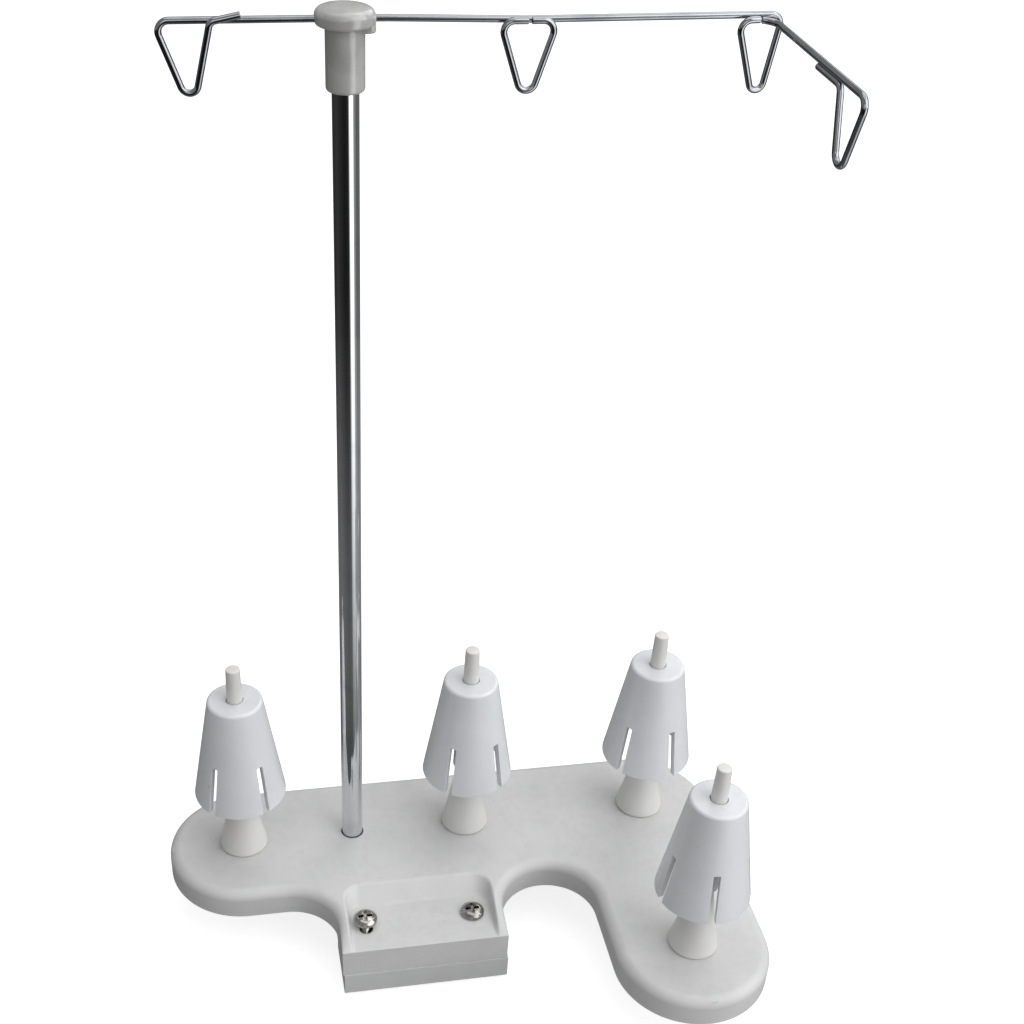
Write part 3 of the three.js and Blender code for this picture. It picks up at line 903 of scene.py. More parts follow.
@dataclass
class Base:
    """The moulded base, its mounting block and the screws; sizes in millimetres."""

    layout: Layout
    lobe: float = 29.0
    thick: float = 12.0
    edge: float = 4.0
    skin: float = 2.6
    wall: float = 2.4
    tab_thick: float = 18.0
    tab_wall: float = 2.4
    tab_floor: float = 2.8
    block_shift: float = 0.5
    block_proud: float = 0.3
    seam: float = 0.22
    recess: float = 6.0
    rim_floor: float = 4.6
    rim_top: float = 3.3
    back_slope: float = 5.9
    recess_back: float = -29.7
    corner_floor: float = 4.5
    corner_top: float = 6.5
    lip: float = 0.9
    ramp_from: float = 19.0
    socket: float = 7.8
    socket_bottom: float = 15.0
    rod_hole: float = 4.45
    screw_hole: float = 2.6
    slot: float = 2.4
    boss: float = 5.2
    screw_boss_wall: float = 2.4
    seam_round: float = 0.15
    block_round: float = 0.35
    boss_drop: float = 6.5
    rib: float = 0.9

    def __post_init__(self) -> None:
        """Works out the tab's sides from the block's box, in millimetres from the rod."""
        rod = self.layout.rod
        self.left = (self.layout.block_low.x - rod.x) / MM - self.block_shift
        self.right = (self.layout.block_high.x - rod.x) / MM - self.block_shift
        self.front = (self.layout.block_low.y - rod.y) / MM + self.block_proud
        self.back = (self.layout.block_high.y - rod.y) / MM
        self.pins = [((p.x - rod.x) / MM, (p.y - rod.y) / MM) for p in self.layout.pins]
        row_right = self.pins[2][0]
        self.notch = (row_right - self.lobe - self.right) / 2
        self.notch_y = -self.lobe - self.notch

    def at(self, x: float, y: float, z: float) -> Vector:
        """A place given in millimetres from the rod's axis and the plate's top."""
        return self.layout.rod + Vector((x, y, z)) * MM

    def lifted(self, points: list[Vector], z: float) -> list[Vector]:
        """Points of the plane, in millimetres from the rod, at one height."""
        return [self.at(p.x, p.y, z) for p in points]

    def outline(self, inset: float) -> list[Vector]:
        """The plate's outline.

        Args:
            inset: how far it is moved inwards.

        Returns:
            Points in the plane, in millimetres from the rod, anticlockwise.
        """
        (x1, _), _, (x3, _), (x4, y4) = self.pins
        r = self.lobe - inset
        hollow = self.notch + inset
        brow = min(inset, 0.35)
        left, right = self.left + inset, self.right - inset
        side = [self.notch_y + (self.front + brow - self.notch_y) * i / 12 for i in range(1, 13)]
        return [
            *arc((x1, 0), r, 90, 270),
            *arc((self.left - self.notch, self.notch_y), hollow, 90, 0),
            *[Vector((left, y)) for y in side],
            *[Vector((right, y)) for y in reversed(side)],
            *arc((self.right + self.notch, self.notch_y), hollow, 180, 0),
            *arc((x4, y4), r, 180, 360),
            *arc((x3, 0), r, 0, 90),
        ]

    def drop(self, y: float) -> float:
        """How much of the rim's height is left at y: one behind the ramp, nought at the front."""
        t = (y - self.front) / self.ramp_from
        t = min(max(t, 0.0), 1.0)
        return 1 - (1 - t) ** 1.7

    def sloped(self, points: list[Vector], z: float) -> list[Vector]:
        """Points at a height, brought down with the rims where they slope to the front."""
        made = []
        for p in points:
            height = z
            if self.left - 1 < p.x < self.right + 1 and z > -self.recess:
                height = -self.recess + (z + self.recess) * self.drop(p.y)
            made.append(self.at(p.x, p.y, height))
        return made

    def recess_ring(self, z: float, rim: float, back: float, corner: float) -> list[Vector]:
        """One ring of the recess's cutter, at a height."""
        x0, x1 = self.left + rim, self.right - rim
        steps = [self.front - 5 + (back - corner - self.front + 5) * i / 16 for i in range(16)]
        ring = [
            *[Vector((x1, y)) for y in steps],
            *arc((x1 - corner, back - corner), corner, 0, 90, 6),
            *arc((x0 + corner, back - corner), corner, 90, 180, 6),
            *[Vector((x0, y)) for y in reversed(steps)],
        ]
        return self.sloped(ring, z) if z <= 0.05 else self.lifted(ring, z)

    def recess_cutter(self) -> Solid:
        """The recess: sloping walls, a small fillet at the floor and a rounded lip at the top."""
        rings = []
        depth = self.recess
        floor_back = self.recess_back - self.back_slope
        for share in (0.0, 0.06, 0.16, 0.3):
            grow = -self.lip * (1 - share / 0.3) ** 2 * 0.8
            t = share * 0.5
            rings.append(self.recess_at(t, -depth * (1 - t), grow, floor_back))
        for t in (0.4, 0.6, 0.85):
            rings.append(self.recess_at(t, -depth * (1 - t), 0.0, floor_back))
        for k in range(1, 7):
            a = math.radians(15 * k)
            z = -self.lip * (1 - math.sin(a)) + 0.02
            t = 1 + z / depth
            rings.append(self.recess_at(min(t, 1.0), z, self.lip * (1 - math.cos(a)), floor_back))
        rings.append(self.recess_ring(
            1.5, self.rim_top - self.lip - 0.1, self.recess_back + self.lip + 0.1,
            self.corner_top + self.lip,
        ))
        return Solid.lofted(rings)

    def recess_at(self, t: float, z: float, grow: float, floor_back: float) -> list[Vector]:
        """One ring at a share of the recess's depth, grown outwards."""
        rim = self.rim_floor + (self.rim_top - self.rim_floor) * t - grow
        back = floor_back + (self.recess_back - floor_back) * t + grow
        corner = self.corner_floor + (self.corner_top - self.corner_floor) * t + grow
        return self.recess_ring(z, rim, back, corner)

    def plate(self) -> Solid:
        """The base plate with its tab, recess, hollow underside, ribs, bosses and holes."""
        rings = []
        for z, inset in ((-self.thick, 0.3), (-self.thick + 0.1, 0.1), (-self.thick + 0.35, 0.0)):
            rings.append(self.sloped(self.outline(inset), z))
        for k in range(11):
            a = math.radians(9 * k)
            z = -self.edge * (1 - math.sin(a))
            rings.append(self.sloped(self.outline(self.edge * (1 - math.cos(a))), z))
        solid = Solid.lofted(rings)
        tab_top = -self.recess - self.tab_floor
        sides = (self.left, self.right, self.front, self.back)
        solid.join(self.rounded_box(sides, -self.tab_thick, -self.thick + 2, self.seam_round))
        inside = self.outline(self.wall)
        over_tab = self.box(
            self.left - 1, self.right + 1, self.front - 1, self.recess_back + self.wall, -20, 1
        )
        pocket = Solid.lofted([self.lifted(inside, z) for z in (-self.thick - 1, -self.skin)])
        pocket.cut(over_tab)
        room = self.box(
            self.left + self.tab_wall, self.right - self.tab_wall, self.front + self.tab_wall,
            self.back - self.tab_wall, -self.tab_thick - 1, tab_top,
        )
        solid.cut(pocket, room)
        solid.join(*self.stiffening(tab_top))
        solid.cut(self.recess_cutter(), *self.holes())
        return solid

    def stiffening(self, tab_top: float) -> list[Solid]:
        """Ribs and bosses under the plate.

        Args:
            tab_top: height of the room under the recess's floor.

        Returns:
            The solids to add.
        """
        drop = -self.skin - self.boss_drop + 0.5
        (x1, _), (x2, _), (x3, _), (x4, y4) = self.pins
        edge = self.lobe - 1
        made = [
            self.box(x1 - edge, x3 + edge, -self.rib, self.rib, drop, -1),
            self.box(x4 - self.rib, x4 + self.rib, y4 - edge, edge, drop, -1),
            self.box(-self.rib, self.rib, self.recess_back, edge, drop, -1),
            self.box(x2 - self.rib, x2 + self.rib, self.recess_back, edge, drop, -1),
        ]
        x = (self.left + self.right) / 2
        made.append(self.box(
            x - 3, x + 3, self.front + 1, self.back - 1, -self.tab_thick, tab_top + 1
        ))
        for x, y in self.pins:
            made.append(self.round(self.boss, -self.skin - self.boss_drop, -1, x, y))
        r = self.screw_hole + self.screw_boss_wall
        for x, y in self.screw_places():
            made.append(self.round(r, -self.tab_thick, tab_top + 1, x, y))
        made.append(self.round(self.socket, -self.socket_bottom, -1, 0, 0))
        return made

    def screw_places(self) -> list[Point]:
        """The axes of the two mounting screws."""
        made = []
        for node in ("mount_screw_left", "mount_screw_right"):
            low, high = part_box(node)
            place = (low + high) / 2 - self.layout.rod
            made.append((place.x / MM, place.y / MM))
        return made

    def holes(self) -> list[Solid]:
        """Tools for the rod's socket, the pins' screws and the mounting screws."""
        rod_low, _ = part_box("guide_rod")
        depth = (rod_low.z - self.layout.rod.z) / MM - 0.3
        made = [
            self.round(self.rod_hole, depth, 1, 0, 0),
            self.round(TAPPED, -self.socket_bottom - 1, depth + 0.5, 0, 0),
        ]
        made += [self.round(PILOT, -self.thick, 1, x, y) for x, y in self.pins]
        (x, y), (right_x, right_y) = self.screw_places()
        made.append(self.round(self.screw_hole, -self.tab_thick - 1, 1, right_x, right_y))
        slot = [
            *arc((x, y - self.slot), self.screw_hole, 180, 360, 7.5),
            *arc((x, y), self.screw_hole, 0, 180, 7.5),
        ]
        made.append(Solid.lofted([self.lifted(slot, z) for z in (-self.tab_thick - 1, 1)]))
        return made

    def round(self, r: float, low: float, high: float, x: float, y: float) -> Solid:
        """A cylinder, used only as a tool or a boss."""
        profile = [(0, low), (r, low), (r, high), (0, high)]
        return Solid.turned(profile, self.at(x, y, 0), segments=48)

    def box(self, x0: float, x1: float, y0: float, y1: float, z0: float, z1: float) -> Solid:
        """A box given in millimetres from the rod."""
        return Solid.block(self.at(x0, y0, z0), self.at(x1, y1, z1))

    def rounded_ring(
        self, sides: tuple[float, float, float, float], r: float, inset: float, z: float
    ) -> list[Vector]:
        """One ring of a box with rounded corners.

        Args:
            sides: left, right, front and back, in millimetres from the rod.
            r: the corners' radius.
            inset: how far the sides are moved inwards.
            z: its height.

        Returns:
            The ring.
        """
        a, b = sides[0] + inset, sides[1] - inset
        c, d = sides[2] + inset, sides[3] - inset
        points = [
            *arc((a + r, c + r), r, 180, 270, 22), *arc((b - r, c + r), r, 270, 360, 22),
            *arc((b - r, d - r), r, 0, 90, 22), *arc((a + r, d - r), r, 90, 180, 22),
        ]
        return self.lifted(points, z)

    def rounded_box(
        self, sides: tuple[float, float, float, float], z0: float, z1: float, r: float
    ) -> Solid:
        """A box whose lower and upright edges are slightly rounded."""
        rings = []
        for t in map(math.radians, QUARTER):
            z = z0 + r * (1 - math.cos(t))
            rings.append(self.rounded_ring(sides, r, r * (1 - math.sin(t)), z))
        return Solid.lofted([*rings, self.rounded_ring(sides, r, 0, z1)])

    def block(self) -> Solid:
        """The mounting block under the tab, with the screws' holes."""
        low = self.layout.block_low - self.layout.rod
        high = self.layout.block_high - self.layout.rod
        high.z += self.seam * MM
        sides = (low.x / MM, high.x / MM, low.y / MM, high.y / MM)
        foot, top, r = low.z / MM, high.z / MM, self.seam_round
        solid = self.rounded_box(sides, foot, top - 0.4, self.block_round)
        cap = []
        for t in map(math.radians, QUARTER):
            z = top - r + r * math.sin(t)
            cap.append(self.rounded_ring(sides, r, r * (1 - math.cos(t)), z))
        edge = [q - self.layout.rod for q in cap[0]]
        cap.insert(0, [self.at(p.x / MM, p.y / MM, top - 1.2) for p in edge])
        solid.join(Solid.lofted(cap))
        return solid.cut(*[
            self.round(self.screw_hole, foot - 1, top + 1, x, y) for x, y in self.screw_places()
        ])

    def build(self, shop: Workshop) -> None:
        """Makes the plate, the block and every screw of the stand."""
        shop.place("base_moulding", self.plate(), GREY_BASE, Body.STAND, Slot.BASE, ["base_plate"])
        shop.place(
            "mounting_block", self.block(), GREY_BLOCK, Body.STAND, Slot.BLOCK, ["mount_block"]
        )
        for node in ("mount_screw_left", "mount_screw_right"):
            low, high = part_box(node)
            screw = PanScrew(length=(high.z - low.z) / MM - PanScrew.height)
            seat = middle(low, high, high.z - screw.height * MM)
            solid = screw.solid(seat)
            shop.place(f"{node}_m4", solid, SCREW_NICKEL, Body.STAND, Slot.SCREW, [node])
        small = [f"pin_screw_{n}" for n in range(1, 5)]
        for node, r, head, height, pitch in [
            *[(node, 1.5, 3.0, 1.8, 1.1) for node in small], ("rod_screw", 2.0, 4.0, 2.4, 0.7),
        ]:
            low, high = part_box(node)
            screw = PanScrew(shank=r, head=head, height=height, pitch=pitch,
                             length=(high.z - low.z) / MM - height)
            seat = middle(low, high, low.z + height * MM)
            solid = screw.solid(seat).mirrored(seat.z)
            shop.place(f"{node}_panhead", solid, ZINC_STEEL, Body.STAND, Slot.ZINC, [node])
        low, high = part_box("rod_washer")
        r, h = (high.x - low.x) / 2 / MM, (high.z - low.z) / MM
        start = (TAPPED, 0, 0)
        ring = filleted([start, (r, 0, 0.12), (r, h, 0.3), (TAPPED, h, 0), start], 4)
        washer = Solid.turned(ring, middle(low, high, low.z), 64)
        shop.place("rod_washer_ring", washer, ZINC_STEEL, Body.STAND, Slot.ZINC, ["rod_washer"])


# ---------------------------------------------------------------- pins and holders


@dataclass
class SpoolPin:
    """A tapered pin with a flared foot; sizes in millimetres."""

    number: int
    centre: Vector
    tip: float = 86.7
    gap: float = 0.3
    tip_radius: float = 2.63
    chamfer: float = 0.5
    flare: list[Point] = field(default_factory=lambda: [
        (9.2, 0), (9.05, 1.6), (7.35, 9), (5.5, 19), (4.2, 28), (3.7, 35), (3.35, 50), (2.97, 72.5),
    ])

    def radius(self, z: float) -> float:
        """The pin's radius at a height above the plate."""
        places = [*self.flare, (self.tip_radius, self.tip)]
        for (r0, z0), (r1, z1) in zip(places, places[1:]):
            if z <= z1 + self.gap:
                return r0 + (r1 - r0) * (z - z0 - self.gap) / (z1 - z0)
        return self.tip_radius

    def build(self, shop: Workshop) -> None:
        """Makes the pin."""
        up = smooth_profile([(r, z + self.gap) for r, z in self.flare]
                            + [(self.tip_radius, self.tip - self.chamfer)], 4)
        tip = filleted(
            [up[-1] + (0,), (self.tip_radius, self.tip - 0.02, self.chamfer), (0.0, self.tip, 0)], 5
        )
        profile = [(0.0, self.gap), (up[0][0] - 0.4, self.gap), *up[1:-1], *tip]
        solid = Solid.turned(profile, self.centre, 72)
        pilot = Solid.turned([(0, -1), (PILOT, -1), (PILOT, 14), (0, 15)], self.centre, 24)
        solid.cut(pilot)
        shop.place(f"tapered_pin_{self.number}", solid, IVORY_PIN, Body.STAND, Slot.PIN,
                   [f"spool_pin_{self.number}"])


@dataclass
class ConeHolder:
    """A slotted cone holder over a pin; sizes in millimetres."""

    number: int
    pin: SpoolPin
    turn: float
    bottom: float = 28.1
    height: float = 44.4
    top_radius: float = 10.2
    bottom_radius: float = 17.4
    wall: float = 2.2
    edge: float = 1.3
    hub_wall: float = 1.3
    hub_clear: float = 0.2
    hub_seat: float = 0.12
    hub_lift: float = 2.5
    slots: int = 5
    slot_height: float = 20.5
    slot_width: float = 2.6
    slot_round: float = 0.5
    slot_spread: float = 1.08

    def shell(self) -> Solid:
        """The skirt, the top and the hub, in one closed profile."""
        low, top = self.bottom, self.bottom + self.height
        hub_low = low + self.hub_lift
        bore_top = self.pin.radius(top) + self.hub_clear
        bore_low = self.pin.radius(hub_low) + self.hub_seat
        lean = (self.bottom_radius - self.top_radius) / self.height
        under = top - self.wall
        corners = [
            (self.bottom_radius - self.wall, low, 0),
            (self.bottom_radius, low, 0.3),
            (self.top_radius, top, self.edge),
            (bore_top, top, 0.25),
            (bore_low, hub_low, 0.15),
            (bore_low + self.hub_wall, hub_low, 0.3),
            (bore_top + self.hub_wall, under, 0.6),
            (self.top_radius - self.wall + lean * self.wall, under, 0.8),
            (self.bottom_radius - self.wall, low, 0),
        ]
        return Solid.turned(filleted(corners, 5), self.pin.centre, 110)

    def slot(self, angle: float) -> Solid:
        """The cutter of one slot, with a rounded top."""
        half = self.slot_width / 2
        top = self.bottom + self.slot_height
        r, foot = self.slot_round, half * self.slot_spread
        ring = [(-foot, self.bottom - 1), (foot, self.bottom - 1)]
        ring += [(p.x, p.y) for p in arc((half - r, top - r), r, 0, 90, 22)]
        ring += [(p.x, p.y) for p in arc((r - half, top - r), r, 90, 180, 22)]
        inner, outer = self.top_radius * 0.7, self.bottom_radius + 3
        turn = Matrix.Rotation(math.radians(angle), 3, "Z")
        rings = []
        for reach in (inner, outer):
            rings.append([self.pin.centre + turn @ (Vector((reach, u, z)) * MM) for u, z in ring])
        return Solid.lofted(rings)

    def build(self, shop: Workshop) -> None:
        """Makes the holder."""
        solid = self.shell()
        solid.cut(*[self.slot(self.turn + 360 / self.slots * k) for k in range(self.slots)])
        shop.place(
            f"slotted_holder_{self.number}", solid, WHITE_HOLDER, Body(f"holder_{self.number}"),
            Slot.HOLDER, [f"cone_holder_{self.number}"],
        )


# ---------------------------------------------------------------- rod, head and wires


@dataclass
class GuideRod:
    """The upright rod."""

    layout: Layout
    chamfer: float = 0.6

    def build(self, shop: Workshop) -> None:
        """Makes the rod with its tapped hole."""
        low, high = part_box("guide_rod")
        r = (high.x - low.x) / 2 / MM
        foot = (low.z - self.layout.rod.z) / MM
        tip = (high.z - self.layout.rod.z) / MM
        c = self.chamfer
        corners = [
            (0, foot, 0), (r - c, foot, 0.2), (r, foot + c, 0.3),
            (r, tip - c, 0.3), (r - c, tip, 0.2), (0, tip, 0),
        ]
        solid = Solid.turned(filleted(corners, 3), self.layout.rod, 96)
        bore = [(0, foot - 1), (TAPPED, foot - 1), (TAPPED, foot + 14), (0, foot + 15)]
        hole = Solid.turned(bore, self.layout.rod, 32)
        shop.place("upright_rod", solid.cut(hole), ROD_CHROME, Body.STAND, Slot.ROD, ["guide_rod"])


@dataclass
class GuideHead:
    """The head on the rod; sizes in millimetres from the plate's top."""

    layout: Layout
    bottom: float = 292.2
    skirt: float = 5.7
    under: float = 310.3
    cap: float = 8.6
    rim: float = 315.0
    crown: float = 316.0
    lug_from: float = 4.0
    lug_drop: float = 1.9
    lug_width: float = 7.0
    lug_round: float = 1.6
    lug_in: float = 1.65
    bore: float = 4.1
    wire_hole: float = 1.3
    wire_height: float = 312.0

    def build(self, shop: Workshop) -> None:
        """Makes the cap, its skirt and the lug where the wire leaves it."""
        _, rod_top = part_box("guide_rod")
        end = (rod_top.z - self.layout.rod.z) / MM + 0.3
        corners = [
            (0, self.bottom, 0), (self.skirt, self.bottom, 1.1), (self.skirt, self.under, 0.5),
            (self.cap, self.under, 1.2), (self.cap, self.rim - 0.4, 2.2),
            (self.cap * 0.45, self.crown - 0.15, 9.0), (0, self.crown, 0),
        ]
        solid = Solid.turned(filleted(corners, 8), self.layout.rod, 96)
        solid.join(self.lug())
        bore = Solid.turned([
            (0, self.bottom - 1), (self.bore + 0.3, self.bottom - 0.1),
            (self.bore, self.bottom + 0.5), (self.bore, end), (0, end),
        ], self.layout.rod, 96)
        z = self.layout.rod.z + self.wire_height * MM
        reach = self.cap * 1.5 * MM
        across = [Vector((self.layout.rod.x + k * reach, self.layout.rod.y, z)) for k in (-1, 0, 1)]
        solid.cut(bore, Solid.wire(across, self.wire_hole * MM, 24))
        shop.place("rod_head", solid, CLOUDY_HEAD, Body.HEAD, Slot.HEAD, ["guide_head"])

    def lug(self) -> Solid:
        """The lug under the cap, where the wire leaves it."""
        half, low = self.lug_width / 2, self.under - self.lug_drop
        x, r = self.cap - self.lug_in, self.lug_round
        ring = [
            Vector((self.lug_from, -half)), *arc((x, -half + r), r, 270, 360, 15),
            *arc((x, half - r), r, 0, 90, 15), Vector((self.lug_from, half)),
        ]
        rings = []
        for z, inset in ((low, 0.7), (low + 0.2, 0.25), (low + 0.7, 0.0), (self.under + 2.4, 0.0)):
            moved = [
                Vector((p.x - (inset if p.x > self.lug_from else 0), p.y * (1 - inset / half), z))
                for p in ring
            ]
            rings.append([self.layout.rod + p * MM for p in moved])
        return Solid.lofted(rings)


Corner = tuple[float, ...]


def bent(corners: list[Corner], step: float = 9.0) -> list[Vector]:
    """A wire's path: straight legs with a round bend at each corner.

    Args:
        corners: x, y, z and bend radius of each corner, in millimetres; the ends have no radius.
        step: degrees between points in a bend.

    Returns:
        The path, in millimetres.
    """
    at = [Vector(c[:3]) for c in corners]
    path = [at[0]]
    for i in range(1, len(at) - 1):
        back = (at[i - 1] - at[i]).normalized()
        on = (at[i + 1] - at[i]).normalized()
        angle = back.angle(on)
        radius = corners[i][3]
        centre = at[i] + (back + on).normalized() * radius / math.sin(angle / 2)
        start = at[i] + back * radius / math.tan(angle / 2) - centre
        end = at[i] + on * radius / math.tan(angle / 2) - centre
        turn = start.angle(end)
        steps = max(2, math.ceil(math.degrees(turn) / step))
        axis = start.cross(end).normalized()
        for k in range(steps + 1):
            path.append(Matrix.Rotation(turn * k / steps, 3, axis) @ start + centre)
    path.append(at[-1])
    return path


@dataclass(frozen=True)
class Loop:
    """One thread loop: two top corners along the wire, a lower tip and its bend, in millimetres."""

    near: float
    far: float
    tip: float
    tip_height: float
    bend: float


@dataclass
class GuideWires:
    """The bent wires of the head; sizes in millimetres from the rod's axis and the plate's top."""

    layout: Layout
    radius: float = 1.0
    bar: float = 312.0
    dip: float = 0.9
    bend: float = 3.0
    beside: float = 2.25
    cap: float = 8.6
    arm_x: float = 124.6
    arm_height: float = 310.0
    droop: float = 0.6
    first: Loop = Loop(-37.2, -52.6, -43.4, 286.5, 2.5)
    second: Loop = Loop(43.6, 60.4, 52.3, 286.0, 2.7)
    third: Loop = Loop(113.9, 128.0, 123.4, 282.8, 2.4)
    fourth: Loop = Loop(-55.1, -72.9, -61.8, 281.2, 3.5)

    def main_wire(self) -> list[Corner]:
        """Loop one, the bar through the head, and loop three."""
        one, three, y = self.first, self.third, -self.beside
        return [
            (one.near + 8.4, y, self.bar + 1.8),
            (one.near, y, self.bar + 0.1, self.bend * 0.7),
            (one.tip, y * 0.3, one.tip_height, one.bend),
            (one.far, 0, self.bar, self.bend),
            (-self.cap * 1.4, 0, self.bar, 40),
            (self.cap * 1.4, 0, self.bar, 40),
            (self.second.tip, 0, self.bar - self.dip, 60),
            (three.far, 0, self.bar - self.dip / 2, self.bend),
            (three.tip, y * 0.3, three.tip_height, three.bend),
            (three.near, y, self.bar - 1.5, self.bend),
            (three.near + 6.6, y, self.bar - 1.3),
        ]

    def second_loop(self) -> list[Corner]:
        """The closed triangle of loop two."""
        two, y, z = self.second, -self.beside, self.bar - self.dip + 0.2
        return [
            (two.tip - 0.5, y, z),
            (two.near, y, z, self.bend),
            (two.tip, y, two.tip_height, two.bend),
            (two.far, y, z, self.bend),
            (two.tip + 0.5, y, z),
        ]

    def front_arm(self) -> list[Corner]:
        """The arm to the fourth cone, and loop four at its end."""
        four, y = self.fourth, -self.beside
        return [
            (self.third.near + 7.4, y, self.arm_height + 0.5),
            (self.arm_x + 0.4, y - 0.4, self.arm_height + 0.2, 4.4),
            (self.arm_x, four.far, self.arm_height - self.droop, self.bend),
            (self.arm_x, four.tip, four.tip_height, four.bend),
            (self.arm_x, four.near, self.arm_height + y, self.bend * 0.8),
            (self.arm_x, four.near + 16.5, self.arm_height + y + 0.2),
        ]

    def build(self, shop: Workshop) -> None:
        """Makes the three wires."""
        for name, corners, node in [
            ("main_guide_wire", self.main_wire(), "guide_wire_main"),
            ("second_loop_wire", self.second_loop(), "guide_loop_2"),
            ("front_arm_wire", self.front_arm(), "guide_arm_front"),
        ]:
            path = [self.layout.rod + p * MM for p in bent(corners)]
            solid = Solid.wire(path, self.radius * MM)
            shop.place(name, solid, WIRE_CHROME, Body.HEAD, Slot.WIRE, [node], crease=50)


# ---------------------------------------------------------------- studio


@dataclass
class Softbox:
    """A soft light; metres and watts."""

    name: str
    place: Triple
    size: tuple[float, float]
    power: float
    target: Triple = (0.02, 0.04, 0.15)

    def build(self) -> None:
        """Hangs the light and aims it."""
        data = bpy.data.lights.new(self.name, "AREA")
        data.shape = "RECTANGLE"
        data.size, data.size_y = self.size
        data.energy = self.power
        lamp = linked(self.name, data)
        lamp.location = self.place
        aim = Vector(self.target) - Vector(self.place)
        lamp.rotation_euler = aim.to_track_quat("-Z", "Y").to_euler()


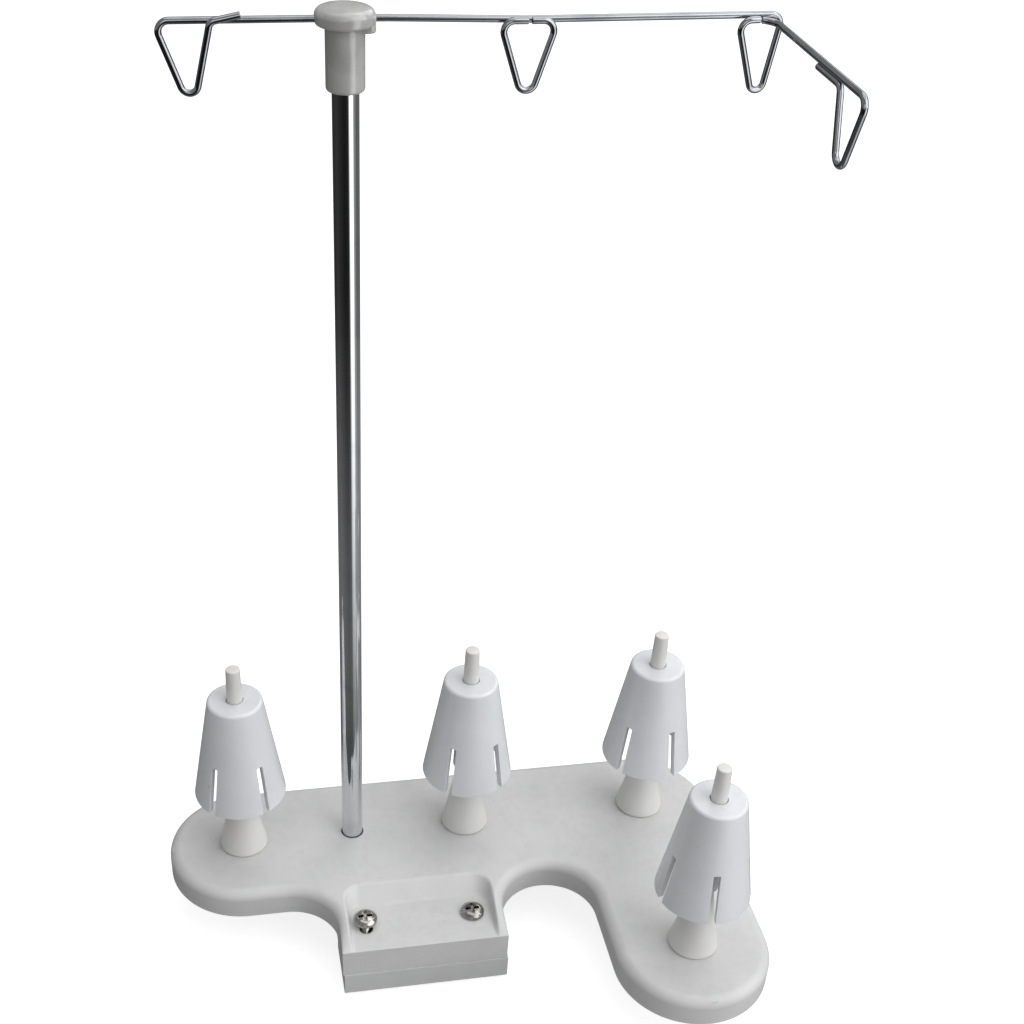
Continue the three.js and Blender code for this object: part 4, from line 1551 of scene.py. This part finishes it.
@dataclass
class Studio:
    """Floor, lights, world and camera."""

    layout: Layout
    floor_gap: float = 0.0005
    floor_half: float = 6.0
    bounce: float = 0.3
    glow: float = 0.8
    world_level: float = 0.37
    bands: tuple[Point, ...] = (
        (-180, 0.1), (-110, 0.05), (-78, 0.07), (-62, 0.85), (-42, 1.0), (-28, 0.35), (0, 0.2),
        (90, 0.22), (125, 0.08), (180, 0.1),
    )
    reach: tuple[float, float] = (0.1, 0.6)
    contrast: tuple[float, float] = (0.3, 1.8)
    gain: tuple[float, float] = (0.2, 2.6)
    camera_place: Triple = (-0.04859, -0.43159, 0.42469)
    yaw: float = 11.13
    pitch: float = 36.27
    roll: float = 2.26
    lens: float = 52.686
    sensor: float = 36.0
    near_clip: float = 0.01
    shift: tuple[float, float] = (0.06085, 0.10398)

    def floor(self) -> None:
        """A large pale floor just under the lowest point.

        It shows white with a faint shadow, gives little light back, and polished pieces see dark
        surroundings on it with one bright stretch, as in a small studio.
        """
        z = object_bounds()[0][2] - self.floor_gap
        mesh = bpy.data.meshes.new("floor")
        half = self.floor_half
        corners = [(-half, -half, z), (half, -half, z), (half, half, z), (-half, half, z)]
        mesh.from_pydata(corners, [], [(0, 1, 2, 3)])
        piece = linked("floor", mesh)
        make = MaterialMaker("pale_floor")
        make.filled(make.shader, Base_Color=(*[self.bounce] * 3, 1.0), Roughness=0.95)
        shown = make.filled(
            make.node("BsdfPrincipled"), Base_Color=(0.5, 0.5, 0.5, 1.0), Roughness=1.0,
            Specular_IOR_Level=0.0, Emission_Color=(1.0, 1.0, 1.0, 1.0),
            Emission_Strength=self.glow,
        )
        mirrored = make.node("Emission", self.surroundings(make))
        rays = make.node("LightPath")
        polished = make.node(
            "MixShader", rays.outputs["Is Glossy Ray"], make.shader.outputs[0], mirrored.outputs[0]
        )
        seen = make.node(
            "MixShader", rays.outputs["Is Camera Ray"], polished.outputs[0], shown.outputs[0]
        )
        make.link(seen.outputs[0], make.output.inputs["Surface"])
        mesh.materials.append(make.material)
        piece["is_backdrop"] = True

    def surroundings(self, make: MaterialMaker) -> Socket:
        """The floor's brightness around the rod, for reflections.

        Args:
            make: the floor's material.

        Returns:
            The colour.
        """
        place = make.node("TexCoord").outputs["Object"]
        around = make.node("VectorMath", place, operation="SUBTRACT")
        around.inputs[1].default_value = tuple(self.layout.rod)
        split = make.node("SeparateXYZ", around.outputs[0])
        bearing = make.node("Math", split.outputs["Y"], split.outputs["X"], operation="ARCTAN2")
        turn = make.node("MapRange", bearing.outputs[0])
        make.filled(turn, From_Min=-math.pi, From_Max=math.pi)
        ramp = make.node("ValToRGB", turn.outputs["Result"])
        stops = ramp.color_ramp.elements
        while len(stops) > 1:
            stops.remove(stops[-1])
        stops[0].position = 0.0
        for k, (bearing_at, level) in enumerate(self.bands):
            stop = stops[0] if k == 0 else stops.new((bearing_at + 180) / 360)
            stop.color = (level, level, level * 1.02, 1.0)
        away = make.node("VectorMath", around.outputs[0], operation="LENGTH")
        shaped: Socket = ramp.outputs["Color"]
        near, far = self.reach
        for operation, low, high in (("POWER", *self.contrast), ("MULTIPLY", *self.gain)):
            span = make.node("MapRange", away.outputs["Value"])
            make.filled(span, From_Min=near, From_Max=far, To_Min=low, To_Max=high)
            step = make.node("Math", shaped, span.outputs["Result"], operation=operation)
            shaped = step.outputs[0]
        return shaped

    def world(self) -> None:
        """An even pale surround."""
        world = bpy.data.worlds.new("studio")
        bpy.context.scene.world = world
        world.use_nodes = True
        surround = world.node_tree.nodes["Background"]
        surround.inputs[0].default_value = (1.0, 1.0, 1.0, 1.0)
        surround.inputs[1].default_value = self.world_level

    def lights(self) -> None:
        """Four soft lights."""
        for box in (
            Softbox("key_softbox", (1.3, -0.9, 1.2), (2.1, 2.1), 30.0),
            Softbox("top_softbox", (0.2, 0.2, 1.7), (1.6, 1.6), 8.5),
            Softbox("back_softbox", (0.9, 0.9, 1.3), (1.3, 1.3), 6.0),
            Softbox("front_softbox", (-0.3, -1.5, 0.9), (0.9, 0.7), 2.0),
        ):
            box.build()

    def camera(self) -> None:
        """Sets the camera."""
        data = bpy.data.cameras.new("camera")
        data.sensor_fit = "HORIZONTAL"
        data.sensor_width = self.sensor
        data.lens = self.lens
        data.shift_x, data.shift_y = self.shift
        data.clip_start = self.near_clip
        cam = linked("camera", data)
        yaw, pitch, roll = (math.radians(a) for a in (self.yaw, self.pitch, self.roll))
        level = math.cos(pitch)
        ahead = Vector((math.sin(yaw) * level, math.cos(yaw) * level, -math.sin(pitch)))
        right = Vector((math.cos(yaw), -math.sin(yaw), 0))
        up = right.cross(ahead)
        tilted_right = right * math.cos(roll) + up * math.sin(roll)
        tilted_up = up * math.cos(roll) - right * math.sin(roll)
        turn = Matrix((tilted_right, tilted_up, -ahead)).transposed().to_4x4()
        turn.translation = self.layout.rod + Vector(self.camera_place)
        cam.matrix_world = turn
        bpy.context.scene.camera = cam

    def build(self) -> None:
        """Sets up the whole studio."""
        self.floor()
        self.world()
        self.lights()
        self.camera()
        view = bpy.context.scene.view_settings
        view.view_transform = "Standard"
        view.look = "None"


SLOT_TURNS = (-59.0, -53.0, -70.5, -97.0)


def main() -> None:
    """Builds the stand, piece by piece, and its studio."""
    logging.basicConfig(level=logging.INFO, format="%(name)s: %(message)s")
    layout = Layout.read()
    studio = Studio(layout)
    studio.build()
    shop = Workshop(Paintshop())
    Base(layout).build(shop)
    for number, (centre, turn) in enumerate(zip(layout.pins, SLOT_TURNS), start=1):
        pin = SpoolPin(number, centre)
        pin.build(shop)
        ConeHolder(number, pin, turn).build(shop)
    GuideRod(layout).build(shop)
    GuideHead(layout).build(shop)
    GuideWires(layout).build(shop)


if __name__ == "__main__":
    main()
